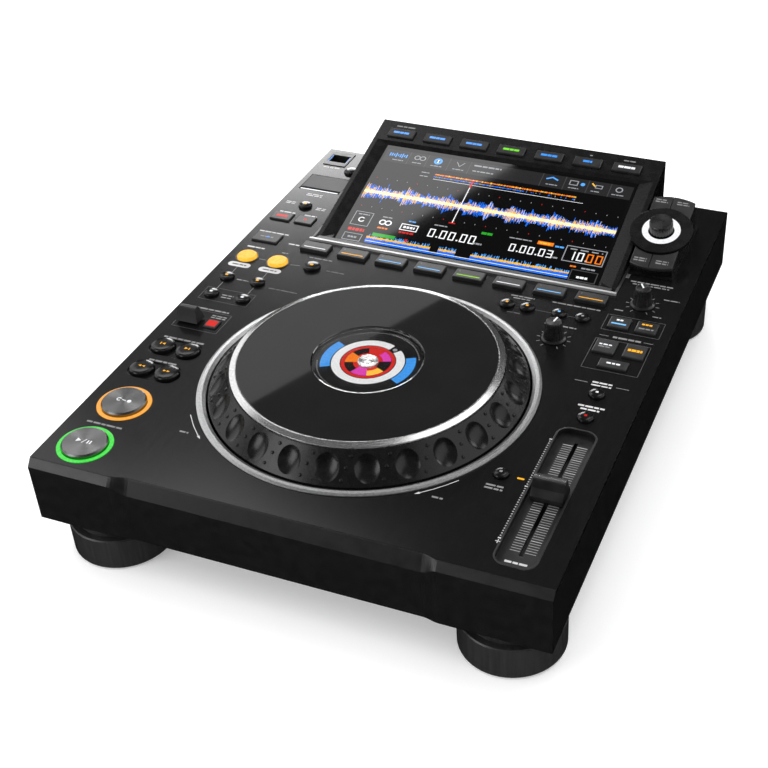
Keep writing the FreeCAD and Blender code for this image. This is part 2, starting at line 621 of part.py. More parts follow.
def cylinder(name, x, y, z0, z1, radius):
    item = doc.addObject("Part::Cylinder", name)
    bind(item, Radius=radius, Height=f"({z1}) - ({z0})")
    place(item, x, y, z0)
    return item


def rear_cylinder(name, x, z, y0, y1, radius):
    """A cylinder along Y."""
    item = doc.addObject("Part::Cylinder", name)
    bind(item, Radius=radius, Height=f"({y1}) - ({y0})")
    item.Placement = FreeCAD.Placement(FreeCAD.Vector(), FreeCAD.Rotation(FreeCAD.Vector(1, 0, 0), -90))
    for axis, text in zip("xyz", (x, y0, z)):
        item.setExpression("Placement.Base." + axis, formula(text))
    return item


def combine(kind, name, items):
    item = doc.addObject("Part::" + kind, name)
    if kind == "Compound":
        item.Links = items
    else:
        item.Shapes = items
    return item


def cut(name, base, tools):
    item = doc.addObject("Part::Cut", name)
    item.Base = base
    item.Tool = tools[0] if len(tools) == 1 else combine("MultiFuse", name + "_tools", tools)
    return item


PANEL_UNDER = "panel_top - panel_thick"
KEY_TOP = f"{PANEL_UNDER} - fit_gap"
SWITCH_TOP = "panel_top - board_top + switch_high"
HALF_WIDTH = "case_width / 2"


# Front bar: the share of the set back, from 0 at the ends to 1 in the middle, at a few stations.
def smooth(part):
    return part * part * (3 - 2 * part)


STEPS = 6
stations = [(f"-{HALF_WIDTH}", 0.0)]
for i in range(STEPS + 1):
    share = i / STEPS
    stations.append((f"-middle_left - blend_left * {1 - share}", smooth(share)))
for i in range(STEPS + 1):
    share = i / STEPS
    stations.append((f"middle_right + blend_right * {share}", smooth(1 - share)))
stations.append((HALF_WIDTH, 0.0))


def face_y(share):
    return f"-case_front + middle_set_back * {share}"


def top_y(share):
    return f"{face_y(share)} + bevel_run + (middle_run - bevel_run) * {share}"


def edge_z(share):
    return f"panel_top - bevel_rise - (middle_rise - bevel_rise) * {share}"


def back_y(share):
    return f"{face_y(share)} + front_bar_thick"


BAR_LOW = "panel_top - front_bar_depth"
BAR_BACK = back_y(1)


def case_shell():
    body = new_body("case_shell")
    outline = [(x, face_y(share)) for x, share in stations]
    outline += [(HALF_WIDTH, "case_rear"), (f"-{HALF_WIDTH}", "case_rear")]
    pad(body, polygon(new_sketch(body, lift="case_bottom"), outline), f"{BAR_LOW} - case_bottom")
    upper = rectangle(new_sketch(body, lift=BAR_LOW), f"-{HALF_WIDTH}", HALF_WIDTH, back_y(0), "case_rear")
    pad(body, upper, f"{PANEL_UNDER} - ({BAR_LOW})")
    sections = []
    for x, share in stations:
        points = [(face_y(share), BAR_LOW), (face_y(share), edge_z(share)), (top_y(share), "panel_top"),
                  (top_y(share), PANEL_UNDER), (back_y(share), PANEL_UNDER), (back_y(share), BAR_LOW)]
        sections.append(polygon(new_sketch(body, "YZ_Plane", lift=x), points))
    bar = body.newObject("PartDesign::AdditiveLoft", "front_bar")
    bar.Profile = sections[0]
    bar.Sections = sections[1:]
    bar.Ruled = True
    left, right = f"-{HALF_WIDTH} + wall", f"{HALF_WIDTH} - wall"
    inner = [(left, back_y(0))] + [(x, back_y(share)) for x, share in stations[1:-1]]
    inner += [(right, back_y(0)), (right, "case_rear - wall"), (left, "case_rear - wall")]
    pocket(body, polygon(new_sketch(body, lift="panel_top"), inner))
    doc.recompute()
    window = rectangle(new_sketch(body, "XZ_Plane", lift="-case_rear - cut_over"), "-rear_window_width / 2",
                       "rear_window_width / 2", "rear_window_low", "rear_window_high")
    opening = pocket(body, window, "wall + 2 * cut_over")
    opening.Reversed = True
    bosses = new_sketch(body, lift="case_bottom + base_thick")
    for x, y in boss_places():
        circle(bosses, x, y, "boss_radius")
    pad(body, bosses, "boss_height")
    holes = new_sketch(body, lift="case_bottom + base_thick")
    for x, y in boss_places():
        circle(holes, x, y, "screw_radius")
    bores = pocket(body, holes, "screw_length + fit_gap")
    bores.Reversed = True
    return node(body, "case_shell")


def boss_places():
    """Axes of the screws that hold the base plate: four corners and the middle of both sides."""
    inner = f"({HALF_WIDTH} - wall - boss_inset)"
    return [(f"{side} * {inner}", y) for side in (-1, 1)
            for y in (f"{BAR_BACK} + boss_inset", "0", "case_rear - wall - boss_inset")]


def base_plate():
    body = new_body("base_plate")
    sheet_area = rectangle(new_sketch(body, lift="case_bottom"), f"-{HALF_WIDTH} + wall + fit_gap",
                           f"{HALF_WIDTH} - wall - fit_gap", f"{BAR_BACK} + fit_gap",
                           "case_rear - wall - fit_gap")
    pad(body, sheet_area, "base_thick")
    posts = new_sketch(body, lift="case_bottom + base_thick")
    for x, y in standoff_places():
        circle(posts, x, y, "standoff_radius")
    pad(body, posts, "standoff_high")
    holes = new_sketch(body, lift="case_bottom + base_thick")
    for x, y in boss_places():
        circle(holes, x, y, "screw_radius + fit_gap")
    pocket(body, holes, "base_thick")
    return node(body, "base_plate")


def board_corners(name):
    return [(f"{name}_x + {i} * ({name}_width / 2 - standoff_inset)",
             f"{name}_y + {j} * ({name}_long / 2 - standoff_inset)") for i in (-1, 1) for j in (-1, 1)]


def standoff_places():
    return board_corners("main_board") + board_corners("supply")


def case_screws():
    screws = []
    for x, y in boss_places():
        screw = turned("case_screw", [("0", "-screw_head"), ("screw_head_radius", "-screw_head"),
                                      ("screw_head_radius", "0"), ("screw_radius - screw_fit", "0"),
                                      ("screw_radius - screw_fit", "base_thick + screw_length"),
                                      ("0", "base_thick + screw_length")])
        place(screw, x, y, "case_bottom")
        screws.append(screw)
    return node(combine("Compound", "screws", screws), "case_screws")


def feet():
    cups = []
    pads = []
    for side in (-1, 1):
        for y in ("-foot_y_front", "foot_y_rear"):
            cup = turned("foot_cup", [("0", "foot_pad_thick"),
                                      ("foot_pad_radius + fit_gap", "foot_pad_thick"),
                                      ("foot_pad_radius + fit_gap", "foot_pad_proud"),
                                      ("foot_radius - foot_round", "foot_pad_proud"),
                                      ("foot_radius", "foot_pad_proud + foot_round"),
                                      ("foot_radius", "foot_cup_top - foot_lip"),
                                      ("foot_radius - foot_lip", "foot_cup_top"),
                                      ("foot_neck_radius", "foot_cup_top"),
                                      ("foot_neck_radius", "case_bottom"),
                                      ("0", "case_bottom")])
            place(cup, f"{side} * foot_x", y)
            cups.append(cup)
            rubber = turned("foot_pad", [("0", "0"), ("foot_pad_radius - foot_pad_round", "0"),
                                         ("foot_pad_radius", "foot_pad_round"),
                                         ("foot_pad_radius", "foot_pad_thick"),
                                         ("0", "foot_pad_thick")])
            place(rubber, f"{side} * foot_x", y)
            pads.append(rubber)
    node(combine("Compound", "cups", cups), "foot_cups")
    node(combine("Compound", "pads", pads), "foot_pads")


# Controls: buttons and keys rise through holes in the panel, and a flange holds each under it.
def round_button(name, x, y, radius, high, travel, label=None):
    stem_low = f"{SWITCH_TOP} + {travel} + fit_gap"
    flange_low = f"{KEY_TOP} - key_flange_thick"
    body = turned(name, [("0", stem_low), ("key_stem", stem_low), ("key_stem", flange_low),
                         (f"{radius} + key_flange", flange_low), (f"{radius} + key_flange", KEY_TOP),
                         (radius, KEY_TOP), (radius, f"panel_top + {high} - key_bevel"),
                         (f"{radius} - key_bevel", f"panel_top + {high}"), ("0", f"panel_top + {high}")])
    place(body, x, y)
    return node(body, label) if label else body


def flat_key(name, x, y, width, length, high, travel, label=None):
    body = new_body(name)
    flange = rectangle(new_sketch(body, lift=f"{KEY_TOP} - key_flange_thick"),
                       f"-({width}) / 2 - key_flange", f"({width}) / 2 + key_flange",
                       f"-({length}) / 2 - key_flange", f"({length}) / 2 + key_flange")
    pad(body, flange, "key_flange_thick")
    cap = rectangle(new_sketch(body, lift=KEY_TOP), f"-({width}) / 2", f"({width}) / 2",
                    f"-({length}) / 2", f"({length}) / 2")
    pad(body, cap, f"panel_thick + fit_gap + {high}")
    stem = circle(new_sketch(body, lift=f"{SWITCH_TOP} + {travel} + fit_gap"), "0", "0", "key_stem")
    pad(body, stem, f"{KEY_TOP} - key_flange_thick - ({SWITCH_TOP} + {travel} + fit_gap)")
    bevel(body, "key_bevel", level(f"panel_top + {high}"))
    place(body, x, y)
    return node(body, label) if label else body


holes = []
switches = []


def round_hole(x, y, radius):
    holes.append(cylinder("hole", x, y, f"{PANEL_UNDER} - cut_over", "panel_top + cut_over",
                          radius))


def square_hole(x, y, width, length):
    holes.append(box("hole", f"{x} - ({width}) / 2", f"{x} + ({width}) / 2", f"{y} - ({length}) / 2",
                     f"{y} + ({length}) / 2", f"{PANEL_UNDER} - cut_over", "panel_top + cut_over"))


def switch_under(x, y):
    half = "switch_width / 2"
    switches.append(box("switch", f"{x} - {half}", f"{x} + {half}", f"{y} - {half}", f"{y} + {half}",
                        "panel_top - board_top", SWITCH_TOP))


def lit_ring(name, x, y, inner, outer):
    """A light guide round a button, with a flange under the panel."""
    body = turned(name, [(inner, f"{PANEL_UNDER} - ring_flange"), (f"{outer} + ring_flange",
                                                                  f"{PANEL_UNDER} - ring_flange"),
                         (f"{outer} + ring_flange", PANEL_UNDER), (outer, PANEL_UNDER),
                         (outer, "panel_top + ring_proud - ring_round"),
                         (f"{outer} - ring_round", "panel_top + ring_proud"),
                         (f"{inner} + ring_round", "panel_top + ring_proud"),
                         (inner, "panel_top + ring_proud - ring_round")])
    place(body, x, y)
    return body


def ringed_button(label, x, y, radius, inner, outer, high, travel):
    """A button inside a light guide. Its flange is small enough to pass under the guide's bore."""
    stem_low = f"{SWITCH_TOP} + {travel} + fit_gap"
    flange_high = f"{PANEL_UNDER} - ring_flange - fit_gap"
    flange_low = f"{flange_high} - key_flange_thick"
    body = turned(label, [("0", stem_low), ("key_stem", stem_low), ("key_stem", flange_low),
                          (f"{inner} + key_flange", flange_low), (f"{inner} + key_flange", flange_high),
                          (radius, flange_high), (radius, f"panel_top + {high} - key_bevel * 2"),
                          (f"{radius} - key_bevel * 2", f"panel_top + {high}"), ("0", f"panel_top + {high}")])
    place(body, x, y)
    node(body, label)
    round_hole(x, y, f"{outer} + snug_gap")
    switch_under(x, y)
    return lit_ring(label + "_ring", x, y, inner, outer)


def controls():
    guides = [
        ringed_button("cue_button", "cue_x", "cue_y", "large_radius", "large_ring_inner", "large_ring",
                      "large_high", "travel_large"),
        ringed_button("play_button", "play_x", "play_y", "large_radius", "large_ring_inner", "large_ring",
                      "large_high", "travel_large"),
        ringed_button("loop_in_button", "loop_in_x", "loop_y", "loop_radius", "loop_ring_inner",
                      "loop_ring", "loop_high", "travel_pad"),
        ringed_button("loop_out_button", "loop_out_x", "loop_y", "loop_radius", "loop_ring_inner",
                      "loop_ring", "loop_high", "travel_pad"),
    ]
    for label, x, y in (("track_back_button", "transport_left", "track_y"),
                        ("track_next_button", "transport_right", "track_y"),
                        ("search_back_button", "transport_left", "search_y"),
                        ("search_next_button", "transport_right", "search_y")):
        round_button(label, x, y, "transport_radius", "transport_high", "travel_pad", label)
        round_hole(x, y, "transport_radius + key_gap")
        switch_under(x, y)
    round_button("reloop_button", "reloop_x", "reloop_y", "reloop_radius", "loop_high", "travel_pad",
                 "reloop_button")
    round_hole("reloop_x", "reloop_y", "reloop_radius + key_gap")
    switch_under("reloop_x", "reloop_y")
    for i in range(int(number("pad_count"))):
        x = f"pad_first + pad_pitch * {i}"
        label = f"pad_key_{i + 1}"
        flat_key(label, x, "pad_y", "pad_width", "pad_long", "pad_high", "travel_pad", label)
        square_hole(x, "pad_y", "pad_width + 2 * key_gap", "pad_long + 2 * key_gap")
        switch_under(x, "pad_y")
    for label, rounds in (("left_round_buttons", LEFT_ROUNDS), ("right_round_buttons", RIGHT_ROUNDS)):
        buttons = []
        for name, *_ in rounds:
            spot = (f"{name}_x", f"{name}_y")
            buttons.append(round_button(name, *spot, f"{name}_radius", "small_high", "travel_small"))
            round_hole(*spot, f"{name}_radius + key_gap")
            switch_under(*spot)
        node(combine("Compound", label, buttons), label)
    for label, keys in (("left_flat_keys", LEFT_KEYS), ("right_flat_keys", RIGHT_KEYS)):
        caps = []
        for name, *_ in keys:
            spot = (f"{name}_x", f"{name}_y")
            caps.append(flat_key(name, *spot, f"{name}_width", f"{name}_long", "flat_high", "travel_small"))
            square_hole(*spot, f"{name}_width + 2 * key_gap", f"{name}_long + 2 * key_gap")
            switch_under(*spot)
        node(combine("Compound", label, caps), label)
    return guides


def knob(label, x, y):
    """A tapered knob with grooves, on a shaft that goes down to its control on the key board."""
    foot = "panel_top + fit_gap"
    shaft_low = f"{SWITCH_TOP} + fit_gap"
    body = turned(label, [("0", shaft_low), ("knob_shaft", shaft_low), ("knob_shaft", foot),
                          ("knob_skirt", foot), ("knob_skirt", f"{foot} + knob_skirt_high"),
                          ("knob_radius", f"{foot} + knob_neck"),
                          ("knob_top_radius", "panel_top + knob_high - knob_round"),
                          ("knob_top_radius - knob_round", "panel_top + knob_high"),
                          ("0", "panel_top + knob_high")])
    groove = body.newObject("PartDesign::SubtractiveCylinder", label + "_groove")
    bind(groove, Radius="knob_groove", Height="knob_high")
    lean = math.degrees(math.atan2(number("knob_radius - knob_top_radius"),
                                   number("knob_high - knob_round - knob_neck")))
    groove.Placement = FreeCAD.Placement(
        FreeCAD.Vector(number("knob_radius + knob_groove_out"), 0, number(f"{foot} + knob_neck + snug_gap")),
        FreeCAD.Rotation(FreeCAD.Vector(0, 1, 0), -lean))
    polar(body, groove, "knob_flutes")
    place(body, x, y)
    round_hole(x, y, "knob_shaft + knob_shaft_gap")
    switch_under(x, y)
    return node(body, label)


def direction_lever():
    """A wedge on a stem that rocks about a round pivot under the panel."""
    body = new_body("direction_lever")
    sections = []
    for height, width, length in (("panel_top + lever_gap", "lever_width", "lever_long"),
                                  ("panel_top + lever_high", "lever_top_width", "lever_top_long")):
        sections.append(rectangle(new_sketch(body, lift=height), f"-{width} / 2", f"{width} / 2",
                                  f"-{length} / 2", f"{length} / 2"))
    wedge = body.newObject("PartDesign::AdditiveLoft", "lever_wedge")
    wedge.Profile = sections[0]
    wedge.Sections = sections[1:]
    stem = rectangle(new_sketch(body, lift="panel_top - lever_pivot"), "-lever_stem_width / 2",
                     "lever_stem_width / 2", "-lever_stem_thick / 2", "lever_stem_thick / 2")
    pad(body, stem, "lever_pivot + lever_gap")
    pin = circle(new_sketch(body, "YZ_Plane", lift="-lever_stem_width / 2"), "0",
                 "panel_top - lever_pivot", "lever_pin")
    pad(body, pin, "lever_stem_width")
    bevel(body, "key_bevel", level("panel_top + lever_high"))
    place(body, "lever_x", "lever_y")
    reach = "(lever_stem_thick + 2 * lever_pivot * tan(lever_swing * 1deg) + 2 * fit_gap)"
    square_hole("lever_x", "lever_y", "lever_stem_width + 2 * fit_gap", reach)
    half = "(lever_stem_width / 2)"
    switches.append(box("cradle", f"lever_x - {half}", f"lever_x + {half}", f"lever_y - {half}",
                        f"lever_y + {half}", "panel_top - board_top",
                        "panel_top - lever_pivot - lever_pin - fit_gap"))
    return node(body, "direction_lever")


# Jog wheel and what carries it. Heights are measured from the panel's top.
def jog():
    def at_jog(body, label):
        place(body, "jog_x", "jog_y", "panel_top")
        return node(body, label)

    at_jog(turned("jog_bezel", [("bezel_seat - fit_gap", "0"), ("bezel_radius", "0"),
                                ("bezel_radius", "bezel_edge"), ("bezel_radius - bezel_round", "bezel_high"),
                                ("bezel_inner + bezel_fall", "bezel_high"),
                                ("bezel_inner", "bezel_inner_high"),
                                ("bezel_inner", "-panel_thick"), ("bezel_seat - fit_gap", "-panel_thick")]),
           "jog_bezel_ring")
    floor_top = "-cup_depth + cup_floor"
    at_jog(turned("jog_cup", [("0", "-cup_depth"), ("cup_inner + cup_wall", "-cup_depth"),
                              ("cup_inner + cup_wall", "-panel_thick - cup_flange_thick"),
                              ("cup_flange", "-panel_thick - cup_flange_thick"),
                              ("cup_flange", "-panel_thick"), ("cup_inner", "-panel_thick"),
                              ("cup_inner", floor_top), ("post_foot_radius", floor_top),
                              ("post_foot_radius", "-bearing_low"), ("post_radius", "-bearing_low"),
                              ("post_radius", "jog_display_high - jog_display_thick"),
                              ("0", "jog_display_high - jog_display_thick")]), "jog_base")
    inner = "post_radius + bearing_fit"
    at_jog(turned("bearing", [(inner, "-bearing_low"), ("bearing_outer", "-bearing_low"),
                              ("bearing_outer", "-bearing_high"), (inner, "-bearing_high")]), "jog_bearing")
    web = "jog_display_high - jog_display_thick - display_gap"
    step = "display_hole + lens_step"
    hub = "bearing_outer + hub_wall"
    wheel = turned("jog_wheel", [
        ("bearing_outer + bearing_fit", "-bearing_low - hub_lap"), (hub, "-bearing_low - hub_lap"),
        (hub, f"{web} - jog_web_thick"), (f"{step} + web_step", f"{web} - jog_web_thick"),
        (f"{step} + web_step", "jog_web_top - jog_web_thick"),
        ("jog_rim_radius - jog_wall", "jog_web_top - jog_web_thick"),
        ("jog_radius - jog_wall", "jog_rim_low - jog_wall * 0.4"), ("jog_radius - jog_wall", "-jog_skirt"),
        ("jog_radius", "-jog_skirt"), ("jog_radius", "jog_rim_low"), ("jog_rim_radius", "jog_rim_high"),
        ("trim_outer + fit_gap", "jog_rim_high"), ("trim_outer + fit_gap", "jog_web_top"),
        (step, "jog_web_top"),
        (step, web), ("post_radius + post_gap", web), ("post_radius + post_gap", "-bearing_high + fit_gap"),
        ("bearing_outer + bearing_fit", "-bearing_high + fit_gap")])
    run = number("jog_radius - jog_rim_radius")
    rise = number("jog_rim_high - jog_rim_low")
    slope = math.degrees(math.atan2(rise, run))
    # An ellipsoid whose middle stands above the slope by 0.6 of its half height leaves an oval
    # 0.8 of its full size.
    stand = 0.6
    dimple = wheel.newObject("PartDesign::SubtractiveEllipsoid", "dimple")
    half_high = number("dimple_deep") / (1 - stand)
    bind(dimple, Radius1=f"dimple_deep / {1 - stand}", Radius2="dimple_long / 1.6", Radius3="dimple_wide / 1.6")
    middle = FreeCAD.Vector(number("(jog_radius + jog_rim_radius) / 2"), 0,
                            number("(jog_rim_high + jog_rim_low) / 2"))
    normal = FreeCAD.Vector(math.sin(math.radians(slope)), 0, math.cos(math.radians(slope)))
    dimple.Placement = FreeCAD.Placement(middle + normal * half_high * stand,
                                         FreeCAD.Rotation(FreeCAD.Vector(0, 1, 0), slope))
    polar(wheel, dimple, "dimple_count")
    wheel.Placement = FreeCAD.Placement(FreeCAD.Vector(), FreeCAD.Rotation(FreeCAD.Vector(0, 0, 1), 1))
    bind(wheel, **{"Placement.Rotation.Angle": "dimple_start"})
    place(wheel, "jog_x", "jog_y", "panel_top")
    node(wheel, "jog_wheel")
    at_jog(turned("jog_trim", [("trim_inner", "jog_web_top"), ("trim_outer", "jog_web_top"),
                               ("trim_outer", "trim_outer_high"), ("trim_inner + trim_flat", "plate_high"),
                               ("trim_inner", "plate_high")]), "jog_trim_ring")
    edge = "trim_inner - plate_fit"
    top = "plate_high - plate_drop"
    at_jog(turned("jog_plate", [("display_hole", "jog_web_top"), (edge, "jog_web_top"),
                                (edge, f"{top} - plate_round"),
                                (f"{edge} - plate_round", top), ("display_hole + plate_round", top),
                                ("display_hole", f"{top} - plate_round")]), "jog_top_plate")
    low = "jog_display_high - jog_display_thick"
    at_jog(turned("jog_lens", [("0", low), ("jog_display_radius", low),
                               ("jog_display_radius", "jog_display_high - lens_round"),
                               ("jog_display_radius - lens_round", "jog_display_high"),
                               ("0", "jog_display_high")]),
           "jog_display")


# Display. Its pieces are drawn along the slope and leaned back about the display's front edge.
def lean_back(item):
    place(item, "0", "display_front", "panel_top", "display_tilt")


REAR_RUN = "display_run * cos(display_tilt * 1deg)"
REAR_RISE = "display_run * sin(display_tilt * 1deg)"
DISPLAY_HALF = "(display_width / 2)"
GLASS_HALF = "(glass_width / 2)"
TUB_RUN = "glass_end * cos(display_tilt * 1deg)"


def display_key_places():
    return [f"display_key_first + display_key_pitch * {i}" for i in range(int(number("display_key_count")))]


def sloped_box(name, x0, x1, v0, v1, n0, n1):
    """A box drawn along the display's slope."""
    body = new_body(name)
    pad(body, rectangle(new_sketch(body, lift=n0), x0, x1, v0, v1), f"({n1}) - ({n0})")
    lean_back(body)
    return body


def display():
    wedge = new_body("display_wedge")
    side = polygon(new_sketch(wedge, "YZ_Plane", lift=f"-{DISPLAY_HALF}"),
                   [("display_front", "panel_top"), (f"display_front + {REAR_RUN}", "panel_top"),
                    (f"display_front + {REAR_RUN}", f"panel_top + {REAR_RISE}")])
    pad(wedge, side, "display_width")
    inside = new_body("display_hollow")
    skin = "(display_wall / sin(display_tilt * 1deg))"
    drop = "(display_wall / cos(display_tilt * 1deg))"
    hollow = polygon(new_sketch(inside, "YZ_Plane", lift=f"-{DISPLAY_HALF} + display_wall"),
                     [(f"display_front + {skin} - 4", "panel_top - 1"),
                      (f"display_front + {skin}", "panel_top"),
                      (f"display_front + {REAR_RUN} - display_wall",
                       f"panel_top + {REAR_RISE} - {drop} - display_wall * tan(display_tilt * 1deg)"),
                      (f"display_front + {REAR_RUN} - display_wall", "panel_top - 1")])
    pad(inside, hollow, "display_width - 2 * display_wall")
    frame = new_body("display_frame_cut")
    outer = f"({DISPLAY_HALF} - display_rim)"
    sections = [rectangle(new_sketch(frame, lift="0.5"), f"-{outer} - 1", f"{outer} + 1", "-5",
                          "key_bar_start + 1"),
                rectangle(new_sketch(frame, lift="-glass_deep"), f"-{GLASS_HALF} - fit_gap",
                          f"{GLASS_HALF} + fit_gap", "-5", "glass_end + fit_gap")]
    slope = frame.newObject("PartDesign::AdditiveLoft", "picture_frame")
    slope.Profile = sections[0]
    slope.Sections = sections[1:]
    lean_back(frame)
    seat = sloped_box("glass_seat", f"-{GLASS_HALF} - fit_gap", f"{GLASS_HALF} + fit_gap",
                      "glass_start - fit_gap", "glass_end + fit_gap", "-glass_deep - glass_thick", "1")
    through = sloped_box("lcd_hole", f"-{GLASS_HALF} + lcd_margin - fit_gap",
                         f"{GLASS_HALF} - lcd_margin + fit_gap", "glass_start + lcd_margin - fit_gap",
                         "glass_end - lcd_margin + fit_gap", "-glass_deep - glass_thick - lcd_thick * 4", "1")
    key_holes = [sloped_box("display_key_hole", f"{x} - display_key_width / 2 - key_gap",
                            f"{x} + display_key_width / 2 + key_gap", "display_key_start - key_gap",
                            "display_key_start + display_key_long + key_gap", "-display_wall - 1", "1")
                 for x in display_key_places()]
    tub = box("display_tub", f"-{GLASS_HALF} - tub_lap", f"{GLASS_HALF} + tub_lap", "display_front",
              f"display_front + {TUB_RUN}", PANEL_UNDER, "panel_top")
    node(cut("housing", combine("MultiFuse", "display_mass", [wedge, tub]),
             [inside, frame, seat, through] + key_holes), "display_housing")
    pane = sloped_box("pane", f"-{GLASS_HALF}", GLASS_HALF, "glass_start", "glass_end",
                      "-glass_deep - glass_thick", "-glass_deep")
    node(pane, "display_glass")
    panel = sloped_box("lcd", f"-{GLASS_HALF} + lcd_margin", f"{GLASS_HALF} - lcd_margin",
                       "glass_start + lcd_margin", "glass_end - lcd_margin",
                       "-glass_deep - glass_thick - lcd_thick", "-glass_deep - glass_thick")
    node(panel, "lcd_module")
    keys = []
    for x in display_key_places():
        key = sloped_box("display_key", f"{x} - display_key_width / 2", f"{x} + display_key_width / 2",
                         "display_key_start", "display_key_start + display_key_long",
                         "-display_wall - fit_gap", "display_key_high")
        under = rectangle(new_sketch(key, lift="-display_wall - fit_gap - key_flange_thick"),
                          f"{x} - display_key_width / 2 - key_flange",
                          f"{x} + display_key_width / 2 + key_flange", "display_key_start - key_flange",
                          "display_key_start + display_key_long + key_flange")
        pad(key, under, "key_flange_thick")
        bevel(key, "key_bevel", level("display_key_high"))
        keys.append(key)
    node(combine("Compound", "bar_keys", keys), "display_keys")


def display_trim():
    """A bright frame: a front bar, a low step behind it, and a thin bar along each side."""
    side = f"({DISPLAY_HALF} + fit_gap)"
    rear = f"display_front + {REAR_RUN}"
    bars = [box("trim_front", "-frame_half_width", "frame_half_width", "frame_front",
                "frame_front + frame_bar", "panel_top", "panel_top + frame_high"),
            box("trim_step", f"-{side} + frame_short", f"{side} - frame_short", "frame_front + frame_bar",
                "(frame_front + frame_bar + display_front - fit_gap) / 2", "panel_top",
                "panel_top + frame_high - frame_step"),
            box("trim_sill", f"-{side} + frame_short", f"{side} - frame_short",
                "(frame_front + frame_bar + display_front - fit_gap) / 2", "display_front - fit_gap",
                "panel_top", "panel_top + frame_high - frame_step * 2"),
            box("trim_left", "-frame_half_width", f"-{side}", "frame_front", rear, "panel_top",
                "panel_top + frame_step"),
            box("trim_right", side, "frame_half_width", "frame_front", rear, "panel_top",
                "panel_top + frame_step")]
    node(combine("MultiFuse", "trim", bars), "display_trim")


# Selector: drawn in its own slope, whose zero height is the top of the glossy ring.
def at_pod(item):
    place(item, "pod_x", "pod_y", "panel_top + pod_high", "pod_tilt")


KEY_LOW = "-pod_ring_rise - pod_key_thick"


def pod_outline(left, right, reach):
    """A face with straight sides and bulging ends."""
    x0, x1, y1 = number(left), number(right), number(reach)
    top = number("pod_bulge")
    middle = (x0 + x1) / 2
    ends = []
    for sign in (-1, 1):
        ends.append(Part.Arc(FreeCAD.Vector(x0, sign * (y1 - top), 0), FreeCAD.Vector(middle, sign * y1, 0),
                             FreeCAD.Vector(x1, sign * (y1 - top), 0)))
    sides = [Part.LineSegment(FreeCAD.Vector(x, top - y1, 0), FreeCAD.Vector(x, y1 - top, 0)) for x in (x0, x1)]
    return Part.Face(Part.Wire(Part.__sortEdges__([item.toShape() for item in ends + sides])))


